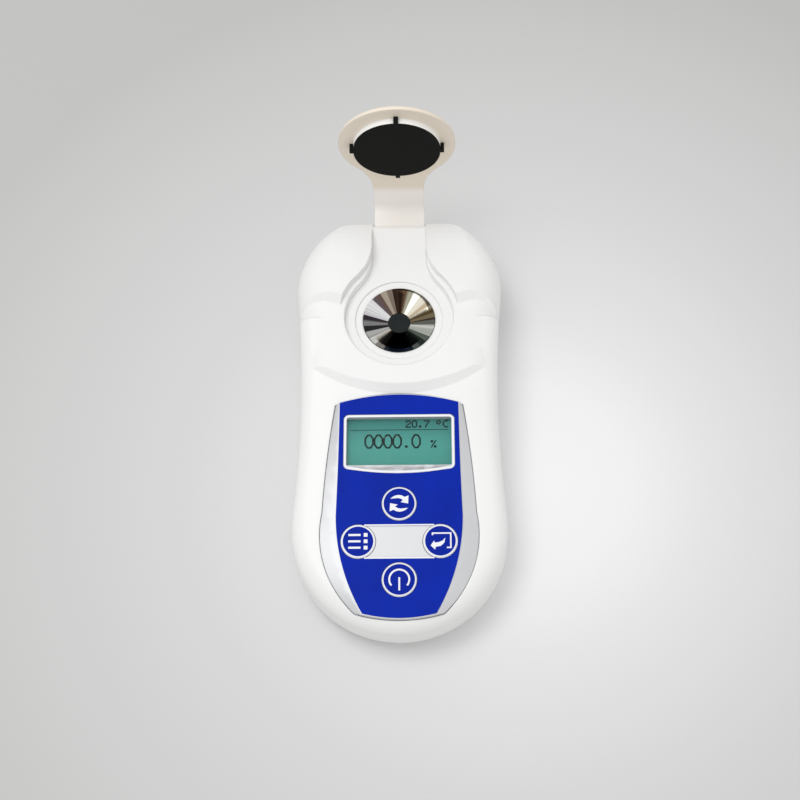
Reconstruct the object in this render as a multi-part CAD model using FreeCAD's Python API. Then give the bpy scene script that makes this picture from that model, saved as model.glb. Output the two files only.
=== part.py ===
import FreeCAD, Part
import math
import os

# Pocket digital refractometer for liquids: a two-lobed handheld housing with a
# chromed sample dish under a hinged cover, a tilted display panel and four keys.
# Millimetres. The origin lies on the resting plane, on the plane of symmetry and
# halfway along the housing. +Y points to the cover's hinge and +Z out of the face.

Vector = FreeCAD.Vector
X_AXIS = Vector(1, 0, 0)
Y_AXIS = Vector(0, 1, 0)
Z_AXIS = Vector(0, 0, 1)

# Housing outline
BODY_LENGTH = 121.0
LOBE_WIDTH = 56.0
WAIST_DEPTH = 1.8
WAIST_LARGEST_RADIUS = 1.0e5
WAIST_PRECISION = 1.0e-6
FAR_END_RADIUS = 36.0
FAR_CORNER_RADIUS = 23.0

# Housing section: three tiers step down from the hinge end to the key end
WALL = 1.8
PARTING_HEIGHT = 11.0
WING_STEP = 2.0
WING_ROUND = 10.0
NOSE_ROUND = 20.0
NOSE_MARGIN = 0.1
WING_EDGE_Y = 29.1
WING_EDGE_RADIUS = 70.0
PLATEAU_STEP = 2.25
PLATEAU_ROUND = 8.0
PLATEAU_EDGE_Y = 4.9
PLATEAU_EDGE_RADIUS = 40.7
DECK_HEIGHT = 20.75
DECK_TILT = 5.0
DECK_ROUND = 4.5
TIER_SLOPE = 1.1
BEVEL_SHARE = 0.65
ROUND_BANDS = 4
BOTTOM_ROUND = 6.0
LIP_THICKNESS = 0.8
LIP_HEIGHT = 1.0
LIP_GAP = 0.15

# Sample dish and the keyhole recess around it
DISH_Y = 25.0
RECESS_DEPTH = 2.3
FLOOR_RADIUS = 14.7
LEDGE_RADIUS = 16.2
NECK_HALF_WIDTH = 7.4
NECK_FLARE_RADIUS = 14.0
RIM_GROOVE_RADIUS = 11.8
RIM_GROOVE_DEPTH = 0.3
DISH_RADIUS = 9.7
DISH_RIM = 0.35
DISH_DEPTH = 1.8
DISH_FLANGE_RADIUS = 12.6
DISH_FLANGE_THICKNESS = 1.0
DISH_GAP = 0.1
GASKET_THICKNESS = 0.8
PRISM_HOLE_RADIUS = 3.05
PRISM_GAP = 0.08

# Cover and its hinge
HINGE_INSET = 4.4
HINGE_DROP = 7.9
FLOOR_END_INSET = 5.1
LID_OPEN_ANGLE = 90.0
LID_THICKNESS = 1.5
LID_SEAT_GAP = 0.3
LID_DISC_GAP = 0.6
LID_ARM_GAP = 0.4
LEG_THICKNESS = 1.8
LEG_OUTER_ROUND = 4.0
LEG_INNER_ROUND = 2.4
KNUCKLE_RADIUS = 2.0
PIN_RADIUS = 1.0
PIN_RUNNING_GAP = 0.05
PIN_LENGTH = 23.0
PIN_SEAT_GAP = 0.02
PIN_BOSS_RADIUS = 2.6
PIN_END_WALL = 1.0
KNUCKLE_CLEARANCE = 0.5
LID_BEVEL = 0.5
PAD_RADIUS = 11.6
PAD_THICKNESS = 0.8
PAD_GAP = 0.3
PAD_LUG_WIDTH = 1.2
PAD_LUG_REACH = 1.0
PAD_LUG_COUNT = 4

# Display panel, in its own frame: z is 0 on the deck and y runs up the slope
PANEL_TOP_Y = 2.6
PANEL_CORNER_Y = -0.6
PANEL_CORNER_BORDER = 2.3
PANEL_SHOULDER_BORDER = 4.1
PANEL_SHOULDER_Y = -14.0
PANEL_WIDE_BORDER = 5.4
PANEL_WIDE_Y = -30.0
PANEL_TAPER_X = 18.9
PANEL_TAPER_Y = -44.5
PANEL_FOOT_X = 11.3
PANEL_FOOT_Y = -56.2
PANEL_BOTTOM_Y = -58.0
PANEL_GAP = 0.15
PANEL_DEPTH = 1.5
PANEL_EDGE_DROP = 0.35
PANEL_LAND = 0.5
PANEL_FLOOR = 1.5
LABEL_TOP_Y = 2.2
LABEL_CORNER_Y = 0.0
LABEL_CORNER_BORDER = 1.15
LABEL_SHOULDER_BORDER = 1.35
LABEL_SHOULDER_Y = -14.0
LABEL_WIDE_BORDER = 1.85
LABEL_WIDE_Y = -31.0
LABEL_TAPER_X = 14.4
LABEL_TAPER_Y = -44.5
LABEL_FOOT_X = 9.4
LABEL_FOOT_Y = -56.4
LABEL_BOTTOM_Y = -57.6
LABEL_THICKNESS = 0.2
LABEL_MARGIN = 0.2

# Display
WINDOW_BORDER = 0.75
WINDOW_TOP_Y = -3.4
WINDOW_SIDE_BOTTOM_Y = -18.1
WINDOW_BOTTOM_Y = -19.5
WINDOW_CORNER = 1.2
WINDOW_THICKNESS = 1.0
WINDOW_GAP = 0.1
WINDOW_PROUD = 0.15
VIEW_WIDTH = 27.4
VIEW_HEIGHT = 13.0
VIEW_CENTRE_Y = -10.45
GLASS_MARGIN = 1.9
GLASS_THICKNESS = 1.6
GLASS_GAP = 0.1
BACKLIGHT_THICKNESS = 0.9
BACKLIGHT_INSET = 1.2
ZEBRA_WIDTH = 0.9

# Keys
KEY_RADIUS = 4.45
KEY_GAP = 0.15
BAR_HALF_HEIGHT = 4.15
KEY_TRAVEL = 0.3
KEY_PROUD = 0.25
KEY_BEVEL = 0.25
KEY_FLANGE_RADIUS = 5.15
KEY_FLANGE_THICKNESS = 0.6
KEY_FLANGE_GAP = 0.3
KEY_REST_GAP = 0.1
KEY_STEM_RADIUS = 1.6
KEY_STEM_LENGTH = 0.5
KEY_CENTRE_Y = -37.8
KEY_SIDE_X = 10.5
KEY_UP_Y = 10.0
SWITCH_SIZE = 4.5
SWITCH_HEIGHT = 1.1
PLUNGER_RADIUS = 1.0
PLUNGER_GAP = 0.1
PLUNGER_DEPTH = 0.35

# Circuit board
BOARD_DEPTH = 4.2
BOARD_THICKNESS = 0.8
BOARD_BORDER = 0.9
BOARD_TOP_Y = 1.0
BOARD_BOTTOM_Y = -52.0
BOARD_CORNER = 4.0
BOARD_SCREW_RADIUS = 0.8
BOARD_SCREW_HEAD_RADIUS = 1.5
BOARD_SCREW_HEAD = 0.8
BOARD_SCREW_BITE = 1.8
BOARD_POST_RADIUS = 1.9
BOARD_SCREW_INSET = 2.4
BOARD_SCREW_Y = -25.0
BOARD_SCREW_NEAR_INSET = 5.1
BOARD_SCREW_NEAR_Y = -48.5
SCREW_FIT = 0.02

# Battery, an AAA cell along the housing
CELL_RADIUS = 5.25
CELL_LENGTH = 44.5
CELL_NUB_RADIUS = 1.9
CELL_NUB_LENGTH = 0.8
CELL_START_Y = -31.0
CELL_CLEARANCE = 0.4
CELL_BEVEL = 0.4
CONTACT_THICKNESS = 0.4
CONTACT_HALF_WIDTH = 3.6
CONTACT_HALF_HEIGHT = 2.7
LEAF_REACH = 3.0
LEAF_TIP_GAP = 0.02
BAY_WALL = 1.2
BAY_WALL_HEIGHT = 8.0
DOOR_RECESS = 1.0
DOOR_GAP = 0.2
DOOR_SEAT_GAP = 0.1
DOOR_LEDGE = 1.3
DOOR_PLUG_HEIGHT = 1.0
DOOR_TAB_WIDTH = 2.2
DOOR_TAB_SPACING = 8.3
DOOR_TAB_THICKNESS = 0.8
DOOR_TAB_LIFT = 0.3
DOOR_TAB_REACH = 1.3
DOOR_GRIP_COUNT = 4
DOOR_GRIP_START = 1.0
DOOR_GRIP_PITCH = 1.8
DOOR_GRIP_WIDTH = 0.8
DOOR_GRIP_DEPTH = 0.35
DOOR_GRIP_LENGTH = 9.0
DOOR_CORNER = 2.0

# Screws that hold the two housing halves together, set in from the side and the end
CASE_SCREW_FAR_INSET = (10.0, 18.0)
CASE_SCREW_NEAR_INSET = (9.6, 21.5)
CASE_SCREW_RADIUS = 1.2
CASE_SCREW_HEAD_RADIUS = 2.3
CASE_SCREW_HEAD = 1.6
CASE_SCREW_LENGTH = 11.0
CASE_SCREW_DEPTH = 2.0
CASE_BOSS_RADIUS = 3.3
HEAD_GAP = 0.25

# Optics under the dish
PRISM_LENGTH = 12.0
PRISM_FOOT_LENGTH = 5.0
PRISM_WIDTH = 8.0
PRISM_HEIGHT = 5.5
PRISM_SHOULDER_GAP = 0.6
BLOCK_HALF_WIDTH = 9.0
BLOCK_HALF_LENGTH = 11.0
BLOCK_HEIGHT = 9.0
BLOCK_CHAMFER = 4.5
BLOCK_GAP = 0.1
OPTIC_SCREW_X = 15.0
OPTIC_POST_RADIUS = 1.9
OPTIC_LUG_TOP = 15.0
OPTIC_LUG_THICKNESS = 1.6
OPTIC_SCREW_BITE = 3.0
PATH_FOCUS_HEIGHT = 15.0
LED_PROUD = 0.8
LENS_GAP = 0.1
LENS_FACE_RADIUS = 1.1
PATH_ANGLE = 45.0
PATH_RADIUS = 1.6
LED_RADIUS = 1.5
LED_LENGTH = 3.6
LENS_RADIUS = 1.45
LENS_THICKNESS = 0.9
SENSOR_WIDTH = 9.0
SENSOR_HEIGHT = 3.0
SENSOR_THICKNESS = 0.9
SENSOR_BOARD_WIDTH = 13.0
SENSOR_BOARD_HEIGHT = 7.5
SENSOR_BOARD_THICKNESS = 0.8
THERMISTOR_RADIUS = 0.9
THERMISTOR_LENGTH = 2.4

# Values that follow from the ones above
PLATEAU_HEIGHT = DECK_HEIGHT + PLATEAU_STEP
WING_HEIGHT = PLATEAU_HEIGHT + WING_STEP
FLOOR_HEIGHT = PLATEAU_HEIGHT - RECESS_DEPTH
HINGE_HEIGHT = PLATEAU_HEIGHT - HINGE_DROP
HINGE_Y = BODY_LENGTH / 2 - HINGE_INSET
FLOOR_END_Y = BODY_LENGTH / 2 - FLOOR_END_INSET
FLOOR_UNDERSIDE = FLOOR_HEIGHT - WALL
LID_INNER_HEIGHT = PLATEAU_HEIGHT + LID_SEAT_GAP
LID_OUTER_HEIGHT = LID_INNER_HEIGHT + LID_THICKNESS
PAD_FACE_HEIGHT = FLOOR_HEIGHT + PAD_GAP
PAD_BACK_HEIGHT = PAD_FACE_HEIGHT + PAD_THICKNESS
SILL_HEIGHT = HINGE_HEIGHT - KNUCKLE_RADIUS - LID_SEAT_GAP
ARM_HALF_WIDTH = NECK_HALF_WIDTH - LID_ARM_GAP
LID_RADIUS = LEDGE_RADIUS - LID_DISC_GAP
LABEL_FACE = PANEL_LAND + LABEL_THICKNESS
GLASS_TOP = -PANEL_DEPTH - GLASS_GAP
KEY_FLANGE_TOP = -PANEL_DEPTH - KEY_REST_GAP
KEY_STEM_END = KEY_FLANGE_TOP - KEY_FLANGE_THICKNESS - KEY_STEM_LENGTH
BOARD_UNDERSIDE = -BOARD_DEPTH - BOARD_THICKNESS
DISH_SEAT = FLOOR_UNDERSIDE - GASKET_THICKNESS
DISH_UNDERSIDE = DISH_SEAT - DISH_FLANGE_THICKNESS
CELL_HEIGHT = WALL + CELL_CLEARANCE + CELL_RADIUS
CELL_END_Y = CELL_START_Y + CELL_LENGTH
VIEW_HALF_WIDTH = VIEW_WIDTH / 2
WINDOW_HALF_WIDTH = VIEW_HALF_WIDTH + WINDOW_BORDER
BOARD_HALF_WIDTH = VIEW_HALF_WIDTH + BOARD_BORDER

# Margins: cutters run past what they cut, and edges are found by nearly equal places
OVER = 40.0
OVERSHOOT = 1.0
TOUCH = 0.01

# Chips on the back of the main board: centre x and y, length, width and height
CHIPS = (
    (0.0, -6.0, 7.0, 7.0, 1.0),
    (9.5, -9.0, 5.0, 4.0, 0.9),
    (-9.5, -9.0, 3.0, 3.0, 1.1),
)


def arc_point(centre, radius, degrees):
    """Point of a circle in the plan view."""
    angle = math.radians(degrees)
    return Vector(centre[0] + radius * math.cos(angle), centre[1] + radius * math.sin(angle), 0)


def arc_edge(centre, radius, start, end):
    """Circular edge from one angle to another, in degrees."""
    middle = (start + end) / 2
    points = [arc_point(centre, radius, angle) for angle in (start, middle, end)]
    return Part.Arc(*points).toShape()


def three_point_arc(first, middle, last):
    """Circular edge through three plan points."""
    return Part.Arc(Vector(*first, 0), Vector(*middle, 0), Vector(*last, 0)).toShape()


def direction(start, end):
    """Angle in degrees of the line from one plan point to another."""
    return math.degrees(math.atan2(end[1] - start[1], end[0] - start[0]))


def face_of(edges):
    """Plane face inside a closed run of edges."""
    return Part.Face(Part.Wire(Part.__sortEdges__(edges)))


def prism_of(face, low, high):
    """Solid over a plan face between two heights."""
    solid = face.extrude(Vector(0, 0, high - low))
    solid.translate(Vector(0, 0, low))
    return solid


def block(half_width, y_low, y_high, low, high):
    """Box that is symmetric about the plane x = 0."""
    corner = Vector(-half_width, y_low, low)
    return Part.makeBox(2 * half_width, y_high - y_low, high - low, corner)


def rod(radius, low, high, x=0.0, y=0.0):
    """Upright cylinder between two heights."""
    return Part.makeCylinder(radius, high - low, Vector(x, y, low), Z_AXIS)


def tube(outer, inner, low, high, x=0.0, y=0.0):
    """Upright ring between two heights."""
    return rod(outer, low, high, x, y).cut(rod(inner, low, high, x, y))


def cross_rod(radius, half_length, y, z):
    """Cylinder along X, symmetric about the plane x = 0."""
    return Part.makeCylinder(radius, 2 * half_length, Vector(-half_length, y, z), X_AXIS)


def edges_where(shape, test):
    """Edges of a shape whose box passes a test."""
    return [edge for edge in shape.Edges if test(edge.BoundBox)]


def on_deck(shape):
    """Move a shape from the panel's own frame onto the tilted deck."""
    placed = shape.copy()
    placed.rotate(Vector(0, 0, 0), X_AXIS, DECK_TILT)
    placed.translate(Vector(0, 0, DECK_HEIGHT))
    return placed


def waist_arc():
    """Centre and radius of the hollow arc that touches both lobes at the waist."""
    corner, near = outline_centres()
    half_waist = LOBE_WIDTH / 2 - WAIST_DEPTH
    near_radius = LOBE_WIDTH / 2
    corner_reach = half_waist - corner[0]
    span = corner[1] - near[1]

    def rise(radius, lobe, reach):
        return math.sqrt((lobe - reach) * (2 * radius + lobe + reach))

    low, high = WAIST_DEPTH, WAIST_LARGEST_RADIUS
    while high - low > WAIST_PRECISION:
        radius = (low + high) / 2
        total = rise(radius, FAR_CORNER_RADIUS, corner_reach) + rise(radius, near_radius, half_waist)
        if total < span:
            low = radius
        else:
            high = radius
    centre = (half_waist + radius, near[1] + rise(radius, near_radius, half_waist))
    return centre, radius


def outline_centres():
    """Centres of the far corner's arc and of the near lobe's arc."""
    corner_x = LOBE_WIDTH / 2 - FAR_CORNER_RADIUS
    between = FAR_END_RADIUS - FAR_CORNER_RADIUS
    end_y = BODY_LENGTH / 2 - FAR_END_RADIUS
    corner = (corner_x, end_y + math.sqrt(between ** 2 - corner_x ** 2))
    near = (0.0, LOBE_WIDTH / 2 - BODY_LENGTH / 2)
    return corner, near


def outline_face(inset):
    """Plan face of the two-lobed housing, set in from its outer line."""
    corner, near = outline_centres()
    end = (0.0, BODY_LENGTH / 2 - FAR_END_RADIUS)
    waist, waist_radius = waist_arc()
    end_angle = direction(end, corner)
    corner_angle = direction(corner, waist)
    near_angle = direction(near, waist)
    far = arc_edge(end, FAR_END_RADIUS - inset, end_angle, 180 - end_angle)
    bottom = arc_edge(near, LOBE_WIDTH / 2 - inset, -180 - near_angle, near_angle)
    side = [
        arc_edge(corner, FAR_CORNER_RADIUS - inset, corner_angle, end_angle),
        arc_edge(waist, waist_radius + inset, near_angle + 180, corner_angle + 180),
    ]
    mirrored = [edge.mirror(Vector(0, 0, 0), X_AXIS) for edge in side]
    return face_of([far, bottom] + side + mirrored)


def rounded_in_bands(solid, radius, rim):
    """Round the edges of a rim with narrow bevels that all touch one arc."""
    banded = solid
    for index in range(ROUND_BANDS):
        slope = math.radians(90 * (index + 1) / (ROUND_BANDS + 1))
        on_top = radius * (1 - (1 - math.sin(slope)) / math.cos(slope))
        on_wall = radius * (1 - (1 - math.cos(slope)) / math.sin(slope))
        banded = banded.common(solid.makeChamfer(on_top, on_wall, rim))
    return banded


def rim_softened(solid, radius, inset, lowest):
    """Round the upper rim of the outer form, or bevel that of the hollow inside it."""
    rim = edges_where(solid, lambda box: box.ZMin > lowest)
    if inset > 0:
        return solid.makeChamfer(BEVEL_SHARE * (radius - inset), rim)
    return rounded_in_bands(solid, radius, rim)


def tier_region(edge_y, edge_radius, top):
    """Solid bounded by a sloping round wall whose nearest point is at edge_y."""
    height = top - PARTING_HEIGHT
    centre = Vector(0, edge_y + edge_radius, PARTING_HEIGHT)
    return Part.makeCone(edge_radius + TIER_SLOPE * height, edge_radius, height, centre, Z_AXIS)


def wing_tier(face, inset):
    """Highest tier, on both sides of the cover's neck."""
    solid = prism_of(face, inset, WING_HEIGHT - inset)
    solid = rim_softened(solid, WING_ROUND, inset, PARTING_HEIGHT)
    return solid.common(tier_region(WING_EDGE_Y + inset, WING_EDGE_RADIUS, WING_HEIGHT))


def plateau_tier(face, inset):
    """Middle tier around the dish."""
    top = PLATEAU_HEIGHT - inset
    solid = rim_softened(prism_of(face, inset, top), PLATEAU_ROUND, inset, PARTING_HEIGHT)
    return solid.common(tier_region(PLATEAU_EDGE_Y + inset, PLATEAU_EDGE_RADIUS, top))


def deck_tier(face, inset):
    """Lowest tier, with a top that slopes down to the keys."""
    cutter = Part.makeBox(2 * OVER, 4 * OVER, OVER, Vector(-OVER, -2 * OVER, -inset))
    solid = prism_of(face, inset, WING_HEIGHT).cut(on_deck(cutter))
    far_cut = block(OVER, PLATEAU_EDGE_Y + OVER / 2, BODY_LENGTH, 0, WING_HEIGHT)
    solid = rim_softened(solid, DECK_ROUND, inset, PARTING_HEIGHT)
    return solid.cut(far_cut)


def nose_region(inset):
    """Solid that ends in a large round across the hinge end, seen from the side."""
    height = WING_HEIGHT - NOSE_ROUND
    drop = PARTING_HEIGHT - height
    y = BODY_LENGTH / 2 + NOSE_MARGIN - math.sqrt(NOSE_ROUND ** 2 - drop ** 2)
    return block(OVER, -BODY_LENGTH, y, -OVER, OVER).fuse(cross_rod(NOSE_ROUND - inset, OVER, y, height))


def upper_form(inset):
    """Closed form of the front half, or of its hollow when set in by the wall."""
    face = outline_face(inset)
    form = wing_tier(face, inset).fuse([plateau_tier(face, inset), deck_tier(face, inset)])
    return form.common(nose_region(inset)).removeSplitter()


def lower_form(inset):
    """Closed form of the rear half, or of its hollow when set in by the wall."""
    base = prism_of(outline_face(inset), inset, PARTING_HEIGHT)
    rim = edges_where(base, lambda box: box.ZMax < inset + TOUCH)
    if inset > 0:
        return base.makeChamfer(BEVEL_SHARE * (BOTTOM_ROUND - inset), rim)
    return rounded_in_bands(base, BOTTOM_ROUND, rim)


def keyhole_face(radius, half_width, flare, end_y):
    """Round opening about the dish that flares into a straight neck up to end_y."""
    dish = (0.0, DISH_Y)
    flare_x = half_width + flare
    flare_y = DISH_Y + math.sqrt((radius + flare) ** 2 - flare_x ** 2)
    touch = direction(dish, (flare_x, flare_y))
    bowl = arc_edge(dish, radius, 180 - touch, 360 + touch)
    side = [
        arc_edge((flare_x, flare_y), flare, 180, touch + 180),
        Part.makeLine(Vector(half_width, flare_y, 0), Vector(half_width, end_y, 0)),
    ]
    mirrored = [edge.mirror(Vector(0, 0, 0), X_AXIS) for edge in side]
    end = Part.makeLine(Vector(-half_width, end_y, 0), Vector(half_width, end_y, 0))
    return face_of([bowl, end] + side + mirrored)


def recess_face(radius, grow):
    """Keyhole outline of the cover's recess, grown outward by a distance."""
    neck = NECK_HALF_WIDTH + grow
    return keyhole_face(radius + grow, neck, NECK_FLARE_RADIUS - grow, BODY_LENGTH)


def shield_face(top_y, corner, shoulder, wide, taper, foot, bottom_y, grow=0.0):
    """Plan face with a bowed top, leaning sides, a tapered foot and a bowed bottom."""
    corner = (corner[0] + grow, corner[1] + grow)
    shoulder = (shoulder[0] + grow, shoulder[1])
    wide = (wide[0] + grow, wide[1])
    taper = (taper[0] + grow, taper[1])
    foot = (foot[0] + grow, foot[1] - grow)
    top = three_point_arc((-corner[0], corner[1]), (0, top_y + grow), corner)
    bottom = three_point_arc(foot, (0, bottom_y - grow), (-foot[0], foot[1]))
    side = [three_point_arc(corner, shoulder, wide), three_point_arc(wide, taper, foot)]
    mirrored = [edge.mirror(Vector(0, 0, 0), X_AXIS) for edge in side]
    return face_of([top, bottom] + side + mirrored)


def panel_face(grow=0.0):
    """Outline of the silver panel in the deck."""
    return shield_face(
        PANEL_TOP_Y,
        (WINDOW_HALF_WIDTH + PANEL_CORNER_BORDER, PANEL_CORNER_Y),
        (WINDOW_HALF_WIDTH + PANEL_SHOULDER_BORDER, PANEL_SHOULDER_Y),
        (WINDOW_HALF_WIDTH + PANEL_WIDE_BORDER, PANEL_WIDE_Y),
        (PANEL_TAPER_X, PANEL_TAPER_Y),
        (PANEL_FOOT_X, PANEL_FOOT_Y),
        PANEL_BOTTOM_Y,
        grow,
    )


def label_face(grow=0.0):
    """Outline of the blue label on the panel."""
    return shield_face(
        LABEL_TOP_Y,
        (WINDOW_HALF_WIDTH + LABEL_CORNER_BORDER, LABEL_CORNER_Y),
        (WINDOW_HALF_WIDTH + LABEL_SHOULDER_BORDER, LABEL_SHOULDER_Y),
        (WINDOW_HALF_WIDTH + LABEL_WIDE_BORDER, LABEL_WIDE_Y),
        (LABEL_TAPER_X, LABEL_TAPER_Y),
        (LABEL_FOOT_X, LABEL_FOOT_Y),
        LABEL_BOTTOM_Y,
        grow,
    )


def window_solid(low, high, grow=0.0):
    """Display window shape: square top corners softened, lower edge bowed."""
    half = WINDOW_HALF_WIDTH + grow
    top = WINDOW_TOP_Y + grow
    side_bottom = WINDOW_SIDE_BOTTOM_Y - grow
    edges = [
        Part.makeLine(Vector(-half, top, 0), Vector(half, top, 0)),
        Part.makeLine(Vector(half, top, 0), Vector(half, side_bottom, 0)),
        three_point_arc((half, side_bottom), (0, WINDOW_BOTTOM_Y - grow), (-half, side_bottom)),
        Part.makeLine(Vector(-half, side_bottom, 0), Vector(-half, top, 0)),
    ]
    solid = prism_of(face_of(edges), low, high)
    upright = edges_where(solid, lambda box: box.ZLength > high - low - TOUCH)
    return solid.makeFillet(WINDOW_CORNER + grow, upright)


def key_places():
    """Plan places of the four keys in the panel's frame, by name."""
    return {
        "refresh": (0.0, KEY_CENTRE_Y + KEY_UP_Y),
        "menu": (-KEY_SIDE_X, KEY_CENTRE_Y),
        "enter": (KEY_SIDE_X, KEY_CENTRE_Y),
        "power": (0.0, KEY_CENTRE_Y - KEY_UP_Y),
    }


def key_rods(radius, low, high):
    """Upright cylinders at all four keys, in the panel's frame."""
    return [rod(radius, low, high, x, y) for x, y in key_places().values()]


def view_block(grow, low, high):
    """Box over the visible part of the display."""
    half_height = VIEW_HEIGHT / 2 + grow
    return block(VIEW_HALF_WIDTH + grow, VIEW_CENTRE_Y - half_height, VIEW_CENTRE_Y + half_height, low, high)


def case_screw_places():
    """Plan places of the four screws between the housing halves."""
    far_x = LOBE_WIDTH / 2 - CASE_SCREW_FAR_INSET[0]
    far_y = BODY_LENGTH / 2 - CASE_SCREW_FAR_INSET[1]
    near_x = LOBE_WIDTH / 2 - CASE_SCREW_NEAR_INSET[0]
    near_y = CASE_SCREW_NEAR_INSET[1] - BODY_LENGTH / 2
    return ((far_x, far_y), (-far_x, far_y), (near_x, near_y), (-near_x, near_y))


def board_screw_places():
    """Places of the board's four screws in the panel's frame."""
    far_x = BOARD_HALF_WIDTH - BOARD_SCREW_INSET
    near_x = BOARD_HALF_WIDTH - BOARD_SCREW_NEAR_INSET
    far = ((far_x, BOARD_SCREW_Y), (-far_x, BOARD_SCREW_Y))
    return far + ((near_x, BOARD_SCREW_NEAR_Y), (-near_x, BOARD_SCREW_NEAR_Y))


def screw_rods(places, radius, low, high):
    """Upright cylinders at every listed screw."""
    return [rod(radius, low, high, x, y) for x, y in places]


def notch_back_y():
    """Back wall of the pocket that the cover's knuckle turns in."""
    return HINGE_Y - KNUCKLE_RADIUS - KNUCKLE_CLEARANCE


def dish_tub():
    """Walls under the keyhole recess, the hinge notch and its pin seats."""
    floor = prism_of(recess_face(FLOOR_RADIUS, WALL), FLOOR_UNDERSIDE, WING_HEIGHT)
    ledge = prism_of(recess_face(LEDGE_RADIUS, WALL), PLATEAU_HEIGHT - WALL, WING_HEIGHT)
    neck = NECK_HALF_WIDTH + WALL
    notch = block(neck, notch_back_y() - WALL, BODY_LENGTH, PARTING_HEIGHT, FLOOR_HEIGHT)
    seats = cross_rod(PIN_BOSS_RADIUS, PIN_LENGTH / 2 + PIN_END_WALL, HINGE_Y, HINGE_HEIGHT)
    return [floor, ledge, notch, seats]


def optic_posts(radius, low, high):
    """Cylinders at the two screws that hang the optic block under the dish floor."""
    return [rod(radius, low, high, side * OPTIC_SCREW_X, DISH_Y) for side in (-1, 1)]


def front_case_additions():
    """Inner walls, posts and bosses of the front half, before it is trimmed."""
    slab = on_deck(prism_of(panel_face(WALL), -PANEL_DEPTH - PANEL_FLOOR, PANEL_LAND))
    posts = screw_rods(board_screw_places(), BOARD_POST_RADIUS, -BOARD_DEPTH, -PANEL_DEPTH)
    bosses = screw_rods(case_screw_places(), CASE_BOSS_RADIUS, PARTING_HEIGHT, WING_HEIGHT)
    hangers = optic_posts(OPTIC_POST_RADIUS, OPTIC_LUG_TOP, FLOOR_HEIGHT)
    return dish_tub() + [slab] + [on_deck(post) for post in posts] + bosses + hangers


def lip_ring(outer_inset, inner_inset, low, high):
    """Ring that follows the housing outline between two insets."""
    outer = prism_of(outline_face(outer_inset), low, high)
    return outer.cut(prism_of(outline_face(inner_inset), low - OVERSHOOT, high + OVERSHOOT))


def recess_cutters():
    """Everything taken out of the front half around the dish and the hinge."""
    notch = block(NECK_HALF_WIDTH, notch_back_y(), BODY_LENGTH, SILL_HEIGHT, FLOOR_UNDERSIDE)
    mouth = block(NECK_HALF_WIDTH, FLOOR_END_Y, BODY_LENGTH, SILL_HEIGHT, WING_HEIGHT + OVERSHOOT)
    return [
        prism_of(recess_face(FLOOR_RADIUS, 0), FLOOR_HEIGHT, WING_HEIGHT + OVERSHOOT),
        prism_of(recess_face(LEDGE_RADIUS, 0), PLATEAU_HEIGHT, WING_HEIGHT + OVERSHOOT),
        notch,
        mouth,
        rod(RIM_GROOVE_RADIUS, FLOOR_HEIGHT - RIM_GROOVE_DEPTH, WING_HEIGHT, 0, DISH_Y),
        rod(DISH_RADIUS + DISH_GAP, FLOOR_UNDERSIDE - OVERSHOOT, WING_HEIGHT, 0, DISH_Y),
        cross_rod(PIN_RADIUS + PIN_SEAT_GAP, PIN_LENGTH / 2 + PIN_SEAT_GAP, HINGE_Y, HINGE_HEIGHT),
    ]


def panel_cutters():
    """Everything taken out of the deck for the panel, the display, keys and board."""
    floor = -PANEL_DEPTH - PANEL_FLOOR
    cutters = [prism_of(panel_face(PANEL_GAP), -PANEL_DEPTH, OVER / 2)]
    cutters.append(view_block(GLASS_MARGIN + 2 * WINDOW_GAP, floor - OVERSHOOT, OVER / 2))
    cutters += key_rods(KEY_FLANGE_RADIUS + KEY_FLANGE_GAP, floor - OVERSHOOT, OVER / 2)
    bite = -BOARD_DEPTH + BOARD_SCREW_BITE
    cutters += screw_rods(board_screw_places(), BOARD_SCREW_RADIUS + SCREW_FIT, floor - OVER / 2, bite)
    return [on_deck(cutter) for cutter in cutters]


def front_case():
    """Front half: three tiers, the keyhole recess, the hinge notch and the panel recess."""
    outer = upper_form(0)
    below = block(OVER, -BODY_LENGTH, BODY_LENGTH, -OVER, PARTING_HEIGHT)
    shell = outer.cut(upper_form(WALL))
    inner_parts = [part.common(outer) for part in front_case_additions()]
    shell = shell.fuse(inner_parts).cut(below)
    lip = lip_ring(WALL - LIP_THICKNESS, WALL, PARTING_HEIGHT - LIP_HEIGHT, PARTING_HEIGHT + LIP_HEIGHT)
    shell = shell.fuse(lip)
    screw_top = CASE_SCREW_DEPTH + CASE_SCREW_HEAD + CASE_SCREW_LENGTH
    holes = screw_rods(case_screw_places(), CASE_SCREW_RADIUS + SCREW_FIT, 0, screw_top + HEAD_GAP)
    holes += optic_posts(BOARD_SCREW_RADIUS + SCREW_FIT, 0, OPTIC_LUG_TOP + OPTIC_SCREW_BITE)
    return shell.cut(recess_cutters() + panel_cutters() + holes).removeSplitter()


def bay_low_y():
    """Inner face of the battery bay behind the spring contact."""
    return CELL_START_Y - LEAF_REACH - CONTACT_THICKNESS


def bay_high_y():
    """Inner face of the battery bay behind the flat contact."""
    return CELL_END_Y + CONTACT_THICKNESS


def bay_block(grow, low, high, extra=0.0):
    """Box over the battery bay, grown sideways by a distance and along Y by more."""
    half = CELL_RADIUS + CELL_CLEARANCE + grow
    along = grow + extra
    return block(half, bay_low_y() - along, bay_high_y() + along, low, high)


def door_plate(gap, low, high):
    """Door outline with softened corners."""
    plate = bay_block(DOOR_LEDGE - gap, low, high)
    upright = edges_where(plate, lambda box: box.ZLength > high - low - TOUCH)
    return plate.makeFillet(DOOR_CORNER - gap, upright)


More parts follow.
